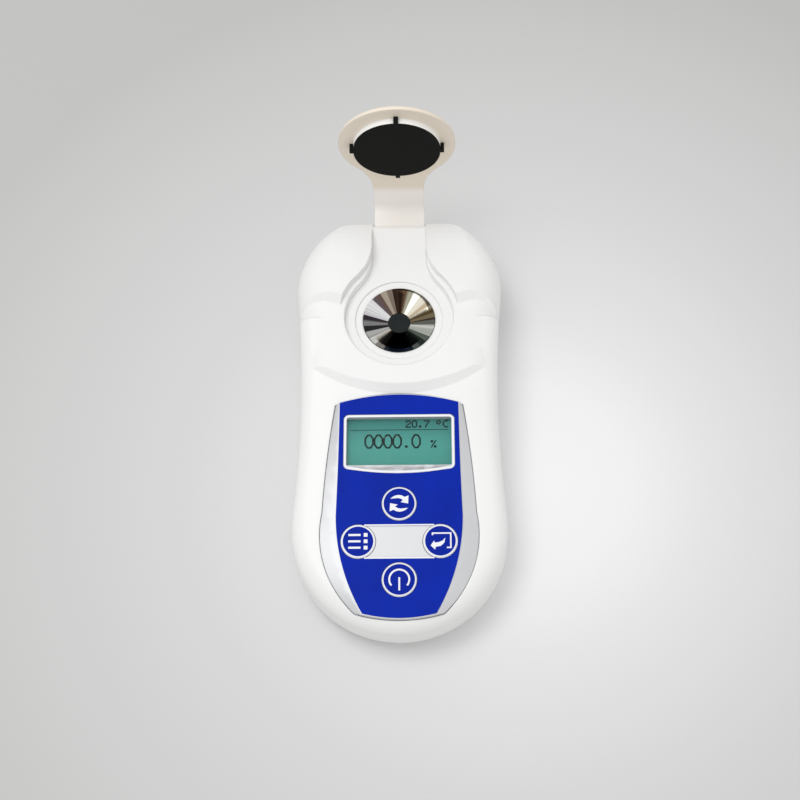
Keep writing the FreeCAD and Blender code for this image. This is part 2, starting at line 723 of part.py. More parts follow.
def door_tabs(grow, y_low, y_high, low, high):
    """Boxes of the two hooks at the door's hinge end."""
    half = DOOR_TAB_WIDTH / 2 + grow
    tabs = []
    for side in (-1, 1):
        corner = Vector(side * DOOR_TAB_SPACING / 2 - half, y_low, low)
        tabs.append(Part.makeBox(2 * half, y_high - y_low, high - low, corner))
    return tabs


def tab_top():
    """Upper face of the door's hooks."""
    return WALL + DOOR_TAB_LIFT + DOOR_TAB_THICKNESS


def rear_case():
    """Rear half: shell, battery bay, screw bosses and the recess for the door."""
    shell = lower_form(0).cut(lower_form(WALL))
    bay = bay_block(BAY_WALL, WALL / 2, WALL + BAY_WALL_HEIGHT)
    bosses = screw_rods(case_screw_places(), CASE_BOSS_RADIUS, WALL / 2, PARTING_HEIGHT)
    outer = lower_form(0)
    shell = shell.fuse([part.common(outer) for part in [bay] + bosses])
    rebate_floor = PARTING_HEIGHT - LIP_HEIGHT - LIP_GAP
    rebate = lip_ring(WALL - LIP_THICKNESS - LIP_GAP, WALL + TOUCH, rebate_floor, OVER)
    head_top = CASE_SCREW_DEPTH + CASE_SCREW_HEAD
    cutters = [rebate]
    cutters += screw_rods(case_screw_places(), CASE_SCREW_RADIUS + HEAD_GAP, 0, OVER)
    cutters += screw_rods(case_screw_places(), CASE_SCREW_HEAD_RADIUS + HEAD_GAP, -OVERSHOOT, head_top)
    cutters.append(bay_block(0, -OVERSHOOT, OVER))
    cutters.append(door_plate(0, -OVERSHOOT, DOOR_RECESS))
    slot_end = bay_high_y() + DOOR_TAB_REACH + DOOR_GAP
    slot_top = tab_top() + DOOR_TAB_THICKNESS
    cutters += door_tabs(DOOR_GAP, bay_high_y() - OVERSHOOT, slot_end, WALL, slot_top)
    return shell.cut(cutters).removeSplitter()


def battery_door():
    """Door with a locating plug, two hooks and a ribbed thumb grip."""
    plate_top = DOOR_RECESS - DOOR_SEAT_GAP
    plate = door_plate(DOOR_GAP, 0, plate_top)
    plug = bay_block(-LID_SEAT_GAP, plate_top - DOOR_SEAT_GAP, plate_top + DOOR_PLUG_HEIGHT)
    post_end = bay_high_y() - LID_SEAT_GAP
    posts = door_tabs(0, post_end - DOOR_TAB_REACH, post_end, plate_top, tab_top())
    hook_end = bay_high_y() + DOOR_TAB_REACH - LID_SEAT_GAP
    hooks = door_tabs(0, post_end - DOOR_TAB_REACH, hook_end, WALL + DOOR_TAB_LIFT, tab_top())
    grooves = []
    for index in range(DOOR_GRIP_COUNT):
        y = bay_low_y() + DOOR_GRIP_START + index * DOOR_GRIP_PITCH
        grooves.append(block(DOOR_GRIP_LENGTH / 2, y, y + DOOR_GRIP_WIDTH, 0, DOOR_GRIP_DEPTH))
    return plate.fuse([plug] + posts + hooks).cut(grooves).removeSplitter()


def opened(shape):
    """Turn a shape from the closed cover's place to the open place."""
    turned = shape.copy()
    turned.rotate(Vector(0, HINGE_Y, HINGE_HEIGHT), X_AXIS, -LID_OPEN_ANGLE)
    return turned


def lid_section():
    """Side view of the cover: a leg at the hinge that bends into a flat arm."""
    inner_y = HINGE_Y + KNUCKLE_RADIUS - LEG_THICKNESS
    outer_y = HINGE_Y + KNUCKLE_RADIUS
    tip_y = DISH_Y - LEDGE_RADIUS
    bend_y = outer_y - LEG_OUTER_ROUND
    bend_z = LID_OUTER_HEIGHT - LEG_OUTER_ROUND
    inner_bend_y = inner_y - LEG_INNER_ROUND
    inner_bend_z = LID_INNER_HEIGHT - LEG_INNER_ROUND
    turn = math.sqrt(0.5)

    def at(y, z):
        return Vector(0, y, z)

    edges = [
        Part.makeLine(at(inner_y, HINGE_HEIGHT), at(inner_y, inner_bend_z)),
        Part.Arc(
            at(inner_y, inner_bend_z),
            at(inner_bend_y + turn * LEG_INNER_ROUND, inner_bend_z + turn * LEG_INNER_ROUND),
            at(inner_bend_y, LID_INNER_HEIGHT),
        ).toShape(),
        Part.makeLine(at(inner_bend_y, LID_INNER_HEIGHT), at(tip_y, LID_INNER_HEIGHT)),
        Part.makeLine(at(tip_y, LID_INNER_HEIGHT), at(tip_y, LID_OUTER_HEIGHT)),
        Part.makeLine(at(tip_y, LID_OUTER_HEIGHT), at(bend_y, LID_OUTER_HEIGHT)),
        Part.Arc(
            at(bend_y, LID_OUTER_HEIGHT),
            at(bend_y + turn * LEG_OUTER_ROUND, bend_z + turn * LEG_OUTER_ROUND),
            at(outer_y, bend_z),
        ).toShape(),
        Part.makeLine(at(outer_y, bend_z), at(outer_y, HINGE_HEIGHT)),
        Part.makeLine(at(outer_y, HINGE_HEIGHT), at(inner_y, HINGE_HEIGHT)),
    ]
    return face_of(edges)


def lid():
    """Cover: keyhole plate, leg, hinge knuckle and the boss that carries the pad."""
    strip = lid_section().extrude(Vector(2 * LEDGE_RADIUS, 0, 0))
    strip.translate(Vector(-LEDGE_RADIUS, 0, 0))
    flare = NECK_FLARE_RADIUS + LID_ARM_GAP
    plan = keyhole_face(LID_RADIUS, ARM_HALF_WIDTH, flare, HINGE_Y + KNUCKLE_RADIUS)
    plate = strip.common(prism_of(plan, SILL_HEIGHT, LID_OUTER_HEIGHT + OVERSHOOT))
    plate = plate.makeChamfer(LID_BEVEL, lid_rim_edges(plate))
    knuckle = cross_rod(KNUCKLE_RADIUS, ARM_HALF_WIDTH, HINGE_Y, HINGE_HEIGHT)
    boss = rod(PAD_RADIUS, PAD_BACK_HEIGHT, LID_INNER_HEIGHT + LID_THICKNESS / 2, 0, DISH_Y)
    bore = cross_rod(PIN_RADIUS + PIN_RUNNING_GAP, NECK_HALF_WIDTH, HINGE_Y, HINGE_HEIGHT)
    lugs = [pad_lug(index) for index in range(PAD_LUG_COUNT)]
    solid = plate.fuse([knuckle, boss]).cut([bore] + lugs)
    return opened(solid.removeSplitter())


def lid_rim_edges(plate):
    """Edges of the cover's outer face that follow its plan outline."""
    top = LID_OUTER_HEIGHT - TOUCH
    bend_y = HINGE_Y + KNUCKLE_RADIUS - LEG_OUTER_ROUND
    rim = edges_where(plate, lambda box: box.ZMin > top)
    return [edge for edge in rim if edge.BoundBox.YMin < bend_y - TOUCH]


def pad_lug(index):
    """One of the pad's lugs, which grips the side of the boss."""
    half = PAD_LUG_WIDTH / 2
    reach = PAD_RADIUS + PAD_LUG_REACH
    lug = Part.makeBox(2 * half, reach, LID_INNER_HEIGHT - PAD_FACE_HEIGHT)
    lug.translate(Vector(-half, 0, PAD_FACE_HEIGHT))
    lug = lug.cut(rod(PAD_RADIUS - PAD_LUG_REACH, 0, OVER))
    lug.rotate(Vector(0, 0, 0), Z_AXIS, index * 360 / PAD_LUG_COUNT)
    lug.translate(Vector(0, DISH_Y, 0))
    return lug


def lid_pad():
    """Rubber pad that presses on the dish, with lugs down the side of the boss."""
    disc = rod(PAD_RADIUS, PAD_FACE_HEIGHT, PAD_BACK_HEIGHT, 0, DISH_Y)
    lugs = [pad_lug(index) for index in range(PAD_LUG_COUNT)]
    return opened(disc.fuse(lugs).removeSplitter())


def hinge_pin():
    """Steel pin through the knuckle and both seats."""
    return cross_rod(PIN_RADIUS, PIN_LENGTH / 2, HINGE_Y, HINGE_HEIGHT)


def sample_dish():
    """Chromed dish: a cone down to the prism, a thin rim and a clamped flange."""
    body = rod(DISH_RADIUS, DISH_SEAT, FLOOR_HEIGHT, 0, DISH_Y)
    flange = rod(DISH_FLANGE_RADIUS, DISH_UNDERSIDE, DISH_SEAT, 0, DISH_Y)
    mouth = DISH_RADIUS - DISH_RIM
    base = Vector(0, DISH_Y, FLOOR_HEIGHT - DISH_DEPTH)
    cone = Part.makeCone(PRISM_HOLE_RADIUS, mouth, DISH_DEPTH, base, Z_AXIS)
    hole = rod(PRISM_HOLE_RADIUS, 0, FLOOR_HEIGHT, 0, DISH_Y)
    return body.fuse(flange).cut([cone, hole]).removeSplitter()


def dish_gasket():
    """Flat rubber ring between the dish's flange and the floor of the recess."""
    inner = DISH_RADIUS + DISH_GAP + DISH_RIM
    return tube(DISH_FLANGE_RADIUS, inner, DISH_SEAT, FLOOR_UNDERSIDE, 0, DISH_Y)


def prism_shoulder():
    """Height of the prism's shoulder under the dish."""
    return DISH_UNDERSIDE - PRISM_SHOULDER_GAP


def prism():
    """Glass prism: a round stem in the dish over a body with two sloping faces."""
    top = prism_shoulder()
    stem_top = FLOOR_HEIGHT - DISH_DEPTH - PRISM_GAP
    stem = rod(PRISM_HOLE_RADIUS - PRISM_GAP, top - PRISM_SHOULDER_GAP, stem_top, 0, DISH_Y)
    foot = top - PRISM_HEIGHT
    corners = [
        Vector(0, DISH_Y - PRISM_LENGTH / 2, top),
        Vector(0, DISH_Y + PRISM_LENGTH / 2, top),
        Vector(0, DISH_Y + PRISM_FOOT_LENGTH / 2, foot),
        Vector(0, DISH_Y - PRISM_FOOT_LENGTH / 2, foot),
    ]
    face = Part.Face(Part.makePolygon(corners + corners[:1]))
    body = face.extrude(Vector(PRISM_WIDTH, 0, 0))
    body.translate(Vector(-PRISM_WIDTH / 2, 0, 0))
    return body.fuse(stem).removeSplitter()


def prism_seal():
    """Rubber ring round the prism's stem."""
    outer = PRISM_WIDTH / 2
    return tube(outer, PRISM_HOLE_RADIUS, prism_shoulder(), DISH_UNDERSIDE, 0, DISH_Y)


def along_path(shape, side):
    """Turn a shape built along +Z from the prism onto the light path of one side."""
    placed = shape.copy()
    placed.rotate(Vector(0, 0, 0), X_AXIS, -side * (180 - PATH_ANGLE))
    placed.translate(Vector(0, DISH_Y, PATH_FOCUS_HEIGHT))
    return placed


def path_at_chamfer():
    """Distance along a light path from its focus to the block's sloping face."""
    low = DISH_UNDERSIDE - BLOCK_HEIGHT
    sloping_sum = BLOCK_HALF_LENGTH - BLOCK_CHAMFER + PATH_FOCUS_HEIGHT - low
    return sloping_sum * math.sqrt(0.5)


def optic_block():
    """Black holder under the dish with two sloping faces and two light paths."""
    low = DISH_UNDERSIDE - BLOCK_HEIGHT
    corners = [
        Vector(0, DISH_Y - BLOCK_HALF_LENGTH, DISH_UNDERSIDE),
        Vector(0, DISH_Y + BLOCK_HALF_LENGTH, DISH_UNDERSIDE),
        Vector(0, DISH_Y + BLOCK_HALF_LENGTH, low + BLOCK_CHAMFER),
        Vector(0, DISH_Y + BLOCK_HALF_LENGTH - BLOCK_CHAMFER, low),
        Vector(0, DISH_Y - BLOCK_HALF_LENGTH + BLOCK_CHAMFER, low),
        Vector(0, DISH_Y - BLOCK_HALF_LENGTH, low + BLOCK_CHAMFER),
    ]
    body = Part.Face(Part.makePolygon(corners + corners[:1])).extrude(Vector(2 * BLOCK_HALF_WIDTH, 0, 0))
    body.translate(Vector(-BLOCK_HALF_WIDTH, 0, 0))
    lugs = block(
        OPTIC_SCREW_X + OPTIC_POST_RADIUS,
        DISH_Y - OPTIC_POST_RADIUS,
        DISH_Y + OPTIC_POST_RADIUS,
        OPTIC_LUG_TOP - OPTIC_LUG_THICKNESS,
        OPTIC_LUG_TOP,
    )
    pocket_half = PRISM_LENGTH / 2 + BLOCK_GAP
    floor = prism_shoulder() - PRISM_HEIGHT
    pocket = block(PRISM_WIDTH / 2 + BLOCK_GAP, DISH_Y - pocket_half, DISH_Y + pocket_half, floor, OVER)
    bores = [along_path(rod(PATH_RADIUS, 0, OVER), side) for side in (-1, 1)]
    chip = sensor_chip(BLOCK_GAP)
    holes = optic_posts(BOARD_SCREW_RADIUS + HEAD_GAP / 2, 0, OVER)
    return body.fuse(lugs).cut([pocket, chip] + bores + holes).removeSplitter()


def led():
    """Lamp with a tapered tip at the key side of the block."""
    end = path_at_chamfer() + LED_PROUD
    stem = rod(LED_RADIUS, end - LED_LENGTH + LED_RADIUS, end)
    tip = Part.makeCone(LED_RADIUS / 2, LED_RADIUS, LED_RADIUS, Vector(0, 0, end - LED_LENGTH), Z_AXIS)
    return along_path(stem.fuse(tip).removeSplitter(), -1)


def lens():
    """Small bevelled lens in front of the lamp."""
    flat = path_at_chamfer() + LED_PROUD - LED_LENGTH - LENS_GAP
    foot = Vector(0, 0, flat - LENS_THICKNESS)
    return along_path(Part.makeCone(LENS_FACE_RADIUS, LENS_RADIUS, LENS_THICKNESS, foot, Z_AXIS), -1)


def sensor_chip(grow):
    """Body of the line sensor, which faces the prism along its light path."""
    high = path_at_chamfer()
    low = high - SENSOR_THICKNESS - grow
    half_x = SENSOR_WIDTH / 2 + grow
    half_y = SENSOR_HEIGHT / 2 + grow
    return along_path(block(half_x, -half_y, half_y, low, high), 1)


def line_sensor():
    """Light sensor with a row of pixels."""
    return sensor_chip(0)


def sensor_board():
    """Small circuit board on the hinge side of the block."""
    low = path_at_chamfer()
    half_height = SENSOR_BOARD_HEIGHT / 2
    board = block(SENSOR_BOARD_WIDTH / 2, -half_height, half_height, low, low + SENSOR_BOARD_THICKNESS)
    return along_path(board, 1)


def thermistor():
    """Glass bead sensor against the underside of the dish."""
    centre = Vector(
        BLOCK_HALF_WIDTH + THERMISTOR_RADIUS + 2 * BLOCK_GAP,
        DISH_Y - THERMISTOR_LENGTH / 2,
        DISH_UNDERSIDE - THERMISTOR_RADIUS,
    )
    return Part.makeCylinder(THERMISTOR_RADIUS, THERMISTOR_LENGTH, centre, Y_AXIS)


def panel_insert():
    """Silver panel: a raised land for the label with flanks that fall to its edge."""
    base = prism_of(panel_face(), -PANEL_DEPTH, -PANEL_EDGE_DROP)
    low = panel_face().OuterWire
    low.translate(Vector(0, 0, -PANEL_EDGE_DROP))
    high = label_face(LABEL_MARGIN).OuterWire
    high.translate(Vector(0, 0, PANEL_LAND))
    land = Part.makeLoft([low, high], True, True)
    solid = base.fuse(land)
    pane_floor = LABEL_FACE - WINDOW_PROUD - WINDOW_THICKNESS
    cutters = [window_solid(pane_floor, OVER, WINDOW_GAP), view_block(0, -OVER, OVER)]
    cutters += key_rods(KEY_RADIUS + KEY_GAP, -OVER, OVER)
    return on_deck(solid.cut(cutters).removeSplitter())


def front_label():
    """Blue film label with openings for the window, the key bar and the keys."""
    film = prism_of(label_face(), PANEL_LAND, LABEL_FACE)
    bar_low = KEY_CENTRE_Y - BAR_HALF_HEIGHT
    bar = block(KEY_SIDE_X, bar_low, bar_low + 2 * BAR_HALF_HEIGHT, -OVER, OVER)
    cutters = [window_solid(-OVERSHOOT, OVER, WINDOW_GAP), bar]
    cutters += key_rods(KEY_RADIUS + KEY_GAP, -OVER, OVER)
    return on_deck(film.cut(cutters).removeSplitter())


def display_window():
    """Clear pane over the display."""
    top = LABEL_FACE - WINDOW_PROUD
    return on_deck(window_solid(top - WINDOW_THICKNESS, top))


def lcd_glass():
    """Liquid crystal cell under the window."""
    return on_deck(view_block(GLASS_MARGIN, GLASS_TOP - GLASS_THICKNESS, GLASS_TOP))


def lcd_backlight():
    """Light guide between the display glass and the board."""
    top = GLASS_TOP - GLASS_THICKNESS
    return on_deck(view_block(GLASS_MARGIN - BACKLIGHT_INSET, top - BACKLIGHT_THICKNESS, top))


def zebra_strips():
    """Two rubber contact strips between the display glass and the board."""
    top = GLASS_TOP - GLASS_THICKNESS
    edge = VIEW_HEIGHT / 2 + GLASS_MARGIN
    strips = []
    for side in (-1, 1):
        low_y = VIEW_CENTRE_Y + min(side * edge, side * (edge - ZEBRA_WIDTH))
        strips.append(on_deck(block(VIEW_HALF_WIDTH, low_y, low_y + ZEBRA_WIDTH, -BOARD_DEPTH, top)))
    return Part.makeCompound(strips)


def key_cap(name):
    """Round key with a flange that keeps it under the panel and a stem below."""
    x, y = key_places()[name]
    top = LABEL_FACE + KEY_PROUD
    cap = rod(KEY_RADIUS, KEY_FLANGE_TOP, top, x, y)
    cap = cap.makeChamfer(KEY_BEVEL, edges_where(cap, lambda box: box.ZMin > top - TOUCH))
    flange = rod(KEY_FLANGE_RADIUS, KEY_FLANGE_TOP - KEY_FLANGE_THICKNESS, KEY_FLANGE_TOP, x, y)
    stem = rod(KEY_STEM_RADIUS, KEY_STEM_END, KEY_FLANGE_TOP, x, y)
    return on_deck(cap.fuse([flange, stem]).removeSplitter())


def key_plunger(name):
    """Plunger of the switch under one key."""
    x, y = key_places()[name]
    low = -BOARD_DEPTH + SWITCH_HEIGHT - PLUNGER_DEPTH
    return on_deck(rod(PLUNGER_RADIUS, low, KEY_STEM_END, x, y))


def switch_housings():
    """Bodies of the four switches on the board."""
    top = -BOARD_DEPTH + SWITCH_HEIGHT
    half = SWITCH_SIZE / 2
    bodies = []
    for x, y in key_places().values():
        corner = Vector(x - half, y - half, -BOARD_DEPTH)
        body = Part.makeBox(SWITCH_SIZE, SWITCH_SIZE, SWITCH_HEIGHT, corner)
        well = rod(PLUNGER_RADIUS + PLUNGER_GAP, top - PLUNGER_DEPTH - KEY_TRAVEL - PLUNGER_GAP, top, x, y)
        bodies.append(on_deck(body.cut(well)))
    return Part.makeCompound(bodies)


def main_board():
    """Main circuit board under the panel."""
    board = block(BOARD_HALF_WIDTH, BOARD_BOTTOM_Y, BOARD_TOP_Y, BOARD_UNDERSIDE, -BOARD_DEPTH)
    upright = edges_where(board, lambda box: box.ZLength > BOARD_THICKNESS - TOUCH)
    board = board.makeFillet(BOARD_CORNER, upright)
    holes = screw_rods(board_screw_places(), BOARD_SCREW_RADIUS + HEAD_GAP / 2, -OVER, OVER)
    return on_deck(board.cut(holes))


def board_chips():
    """Processor, memory and regulator on the back of the main board."""
    chips = []
    for x, y, length, width, height in CHIPS:
        corner = Vector(x - length / 2, y - width / 2, BOARD_UNDERSIDE - height)
        chips.append(on_deck(Part.makeBox(length, width, height, corner)))
    return Part.makeCompound(chips)


def screw_solid(radius, head_radius, head, length):
    """Screw that points up, with its head's lower face at the origin."""
    return rod(head_radius, 0, head).fuse(rod(radius, head, head + length)).removeSplitter()


def placed_copies(solid, places, height):
    """Compound of one solid at every listed place."""
    copies = []
    for x, y in places:
        copy = solid.copy()
        copy.translate(Vector(x, y, height))
        copies.append(copy)
    return Part.makeCompound(copies)


def case_screws():
    """Four screws from the back that clamp the housing halves."""
    screw = screw_solid(CASE_SCREW_RADIUS, CASE_SCREW_HEAD_RADIUS, CASE_SCREW_HEAD, CASE_SCREW_LENGTH)
    return placed_copies(screw, case_screw_places(), CASE_SCREW_DEPTH)


def board_screws():
    """Four screws that hold the main board to its posts."""
    length = BOARD_THICKNESS + BOARD_SCREW_BITE - SCREW_FIT
    screw = screw_solid(BOARD_SCREW_RADIUS, BOARD_SCREW_HEAD_RADIUS, BOARD_SCREW_HEAD, length)
    return on_deck(placed_copies(screw, board_screw_places(), BOARD_UNDERSIDE - BOARD_SCREW_HEAD))


def optic_screws():
    """Two screws that hang the optic block from its posts."""
    length = OPTIC_LUG_THICKNESS + OPTIC_SCREW_BITE - SCREW_FIT
    screw = screw_solid(BOARD_SCREW_RADIUS, BOARD_SCREW_HEAD_RADIUS, BOARD_SCREW_HEAD, length)
    places = ((-OPTIC_SCREW_X, DISH_Y), (OPTIC_SCREW_X, DISH_Y))
    return placed_copies(screw, places, OPTIC_LUG_TOP - OPTIC_LUG_THICKNESS - BOARD_SCREW_HEAD)


def battery_cell():
    """AAA cell with its positive nub towards the dish."""
    body_length = CELL_LENGTH - CELL_NUB_LENGTH
    start = Vector(0, CELL_START_Y, CELL_HEIGHT)
    body = Part.makeCylinder(CELL_RADIUS, body_length, start, Y_AXIS)
    body = body.makeChamfer(CELL_BEVEL, edges_where(body, lambda box: box.YLength < TOUCH))
    nub = Part.makeCylinder(CELL_NUB_RADIUS, CELL_LENGTH, start, Y_AXIS)
    return body.fuse(nub).removeSplitter()


def contact_plate():
    """Flat contact behind the cell's nub."""
    low = CELL_HEIGHT - CONTACT_HALF_HEIGHT
    return block(CONTACT_HALF_WIDTH, CELL_END_Y, bay_high_y(), low, CELL_HEIGHT + CONTACT_HALF_HEIGHT)


def contact_leaf():
    """Bent leaf spring that bears on the flat end of the cell."""
    low = CELL_HEIGHT - CONTACT_HALF_HEIGHT
    high = CELL_HEIGHT + CONTACT_HALF_HEIGHT
    back = bay_low_y()
    tip = CELL_START_Y - LEAF_TIP_GAP
    plate = block(CONTACT_HALF_WIDTH, back, back + CONTACT_THICKNESS, low, high)
    bow = [
        Part.Arc(Vector(0, back, high), Vector(0, tip, CELL_HEIGHT), Vector(0, back, low)).toShape(),
        Part.makeLine(Vector(0, back, low), Vector(0, back, high)),
    ]
    hollow = [
        Part.Arc(
            Vector(0, back, high - CONTACT_THICKNESS),
            Vector(0, tip - CONTACT_THICKNESS, CELL_HEIGHT),
            Vector(0, back, low + CONTACT_THICKNESS),
        ).toShape(),
        Part.makeLine(Vector(0, back, low + CONTACT_THICKNESS), Vector(0, back, high - CONTACT_THICKNESS)),
    ]
    strip = face_of(bow).cut(face_of(hollow)).extrude(Vector(CONTACT_HALF_WIDTH, 0, 0))
    strip.translate(Vector(-CONTACT_HALF_WIDTH / 2, 0, 0))
    return plate.fuse(strip).removeSplitter()


def all_parts():
    """Every sub-part of the instrument by the name of its file."""
    parts = {
        "front_case": front_case(),
        "rear_case": rear_case(),
        "battery_door": battery_door(),
        "lid": lid(),
        "lid_pad": lid_pad(),
        "hinge_pin": hinge_pin(),
        "sample_dish": sample_dish(),
        "dish_gasket": dish_gasket(),
        "prism": prism(),
        "prism_seal": prism_seal(),
        "optic_block": optic_block(),
        "led": led(),
        "lens": lens(),
        "line_sensor": line_sensor(),
        "sensor_board": sensor_board(),
        "thermistor": thermistor(),
        "panel_insert": panel_insert(),
        "front_label": front_label(),
        "display_window": display_window(),
        "lcd_glass": lcd_glass(),
        "lcd_backlight": lcd_backlight(),
        "zebra_strips": zebra_strips(),
        "switch_housings": switch_housings(),
        "main_board": main_board(),
        "board_chips": board_chips(),
        "battery_cell": battery_cell(),
        "contact_plate": contact_plate(),
        "contact_leaf": contact_leaf(),
        "case_screws": case_screws(),
        "board_screws": board_screws(),
        "optic_screws": optic_screws(),
    }
    for name in key_places():
        parts["key_" + name] = key_cap(name)
        parts["plunger_" + name] = key_plunger(name)
    return parts


def main():
    """Build every sub-part and write it to its own file."""
    os.makedirs("parts", exist_ok=True)
    for name, shape in all_parts().items():
        shape.exportStep("parts/%s.step" % name)
        box = shape.BoundBox
        solids = len(shape.Solids)
        print("%-16s %2d solids %8.1f mm3  valid %s" % (name, solids, shape.Volume, shape.isValid()), box)


if __name__ == "__main__":
    main()
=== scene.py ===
"""Looks of a pocket digital refractometer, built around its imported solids.

The housing, cover, dish and keys keep the meshes of the frame and get their finishes
here. The printed marks, the display's picture and the screw heads are built as pieces
of their own. Lengths in the classes below are in millimetres unless their note says so.
"""

from __future__ import annotations

import logging
import math
from dataclasses import dataclass, field
from enum import Enum
from typing import Any, Sequence

import bmesh
import bpy
from mathutils import Matrix, Vector


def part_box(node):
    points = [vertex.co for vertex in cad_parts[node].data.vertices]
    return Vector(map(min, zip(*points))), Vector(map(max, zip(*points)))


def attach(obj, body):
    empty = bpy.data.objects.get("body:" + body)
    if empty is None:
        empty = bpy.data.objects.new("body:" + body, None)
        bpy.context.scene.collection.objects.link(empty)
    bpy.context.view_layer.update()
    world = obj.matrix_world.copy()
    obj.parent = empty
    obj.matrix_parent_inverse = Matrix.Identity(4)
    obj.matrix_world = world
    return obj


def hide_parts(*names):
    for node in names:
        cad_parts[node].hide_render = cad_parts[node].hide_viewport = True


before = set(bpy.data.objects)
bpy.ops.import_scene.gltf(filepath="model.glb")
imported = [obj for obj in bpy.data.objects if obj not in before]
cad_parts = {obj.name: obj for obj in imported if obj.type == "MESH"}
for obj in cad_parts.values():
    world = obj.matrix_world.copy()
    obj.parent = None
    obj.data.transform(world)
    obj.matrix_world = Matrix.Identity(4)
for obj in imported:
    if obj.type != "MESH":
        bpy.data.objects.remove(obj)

LOG = logging.getLogger("refractometer")
MM = 0.001
# Share by which a surface's roughness varies, and the strength of its relief
GLOSS_SPREAD = 0.12
RELIEF_STRENGTH = 0.6
# Noise values between which a tone runs from its darker to its lighter end
TONE_LOW, TONE_HIGH = 0.3, 0.7
# Sockets of the Mix node that carry colours
MIX_FIRST, MIX_SECOND, MIX_RESULT = 6, 7, 2
# Least share of a band's width that divides it at a corner, so that sharp corners stay short
SHARPEST_MITRE = 0.2
Point = tuple[float, float]
Tree = bpy.types.NodeTree
Node = bpy.types.Node
Material = bpy.types.Material
Piece = bpy.types.Object


class Key(Enum):
    """The four keys by the end of their node's name."""

    REFRESH = "refresh"
    MENU = "menu"
    ENTER = "enter"
    POWER = "power"


def srgb(code: str) -> tuple[float, float, float, float]:
    """Turn an sRGB hex colour into a linear one.

    Args:
        code: Six hex digits with a leading hash.

    Returns:
        Linear red, green and blue with an alpha of 1.
    """
    channels = [int(code[i : i + 2], 16) / 255 for i in (1, 3, 5)]
    linear = [c / 12.92 if c <= 0.04045 else ((c + 0.055) / 1.055) ** 2.4 for c in channels]
    return (*linear, 1.0)


def add_node(
    tree: Tree,
    kind: str,
    settings: dict[str | int, Any] | None = None,
    links: dict[str | int, bpy.types.NodeSocket] | None = None,
) -> Node:
    """Add one node to a tree with its settings and links.

    Args:
        tree: Tree that the node is added to.
        kind: Blender's type name of the node.
        settings: Values by the name of a property, by the name or index of an input, or "stops"
            for a colour ramp.
        links: Sockets to link from, by the name or index of the input that they feed.

    Returns:
        The new node.
    """
    node = tree.nodes.new(kind)
    for name, value in (settings or {}).items():
        if name == "stops":
            ramp = node.color_ramp
            while len(ramp.elements) < len(value):
                ramp.elements.new(1.0)
            for stop, (position, colour) in zip(ramp.elements, value):
                stop.position = position
                stop.color = colour
        elif isinstance(name, str) and hasattr(node, name):
            setattr(node, name, value)
        else:
            node.inputs[name].default_value = value
    for name, socket in (links or {}).items():
        tree.links.new(socket, node.inputs[name])
    return node


def new_object(name: str, data: bpy.types.ID | None) -> Piece:
    """Put a mesh, lamp or camera into the scene as an object.

    Args:
        name: Name of the object.
        data: What it shows.

    Returns:
        The object.
    """
    piece = bpy.data.objects.new(name, data)
    bpy.context.scene.collection.objects.link(piece)
    return piece


def solid_piece(name: str, shape: bmesh.types.BMesh, place: Matrix, material: Material) -> Piece:
    """Turn a closed shape into a piece and free the shape.

    Args:
        name: Name of the piece.
        shape: The shape.
        place: Transform from the shape's millimetres to metres.
        material: Its one material.

    Returns:
        The piece.
    """
    bmesh.ops.recalc_face_normals(shape, faces=shape.faces[:])
    shape.transform(place)
    data = bpy.data.meshes.new(name)
    shape.to_mesh(data)
    shape.free()
    data.materials.append(material)
    return new_object(name, data)


def blank_material(name: str) -> tuple[Material, Tree]:
    """Make an empty node material.

    Args:
        name: Name of the material.

    Returns:
        The material and its node tree, without nodes.
    """
    material = bpy.data.materials.new(name)
    material.use_nodes = True
    material.node_tree.nodes.clear()
    return material, material.node_tree


def spot_on(tree: Tree) -> bpy.types.NodeSocket:
    """Add the coordinates of the shaded place, in the piece's own frame."""
    return add_node(tree, "ShaderNodeTexCoord").outputs["Object"]


def cycles_per(size_mm: float) -> float:
    """Texture scale that gives one cycle per stated size, for coordinates in metres."""
    return 1.0 / (size_mm * MM)


def tinted(code: str, share: float) -> tuple[float, float, float, float]:
    """A colour made lighter or darker by a share of itself."""
    red, green, blue, _ = srgb(code)
    return (red * share, green * share, blue * share, 1.0)


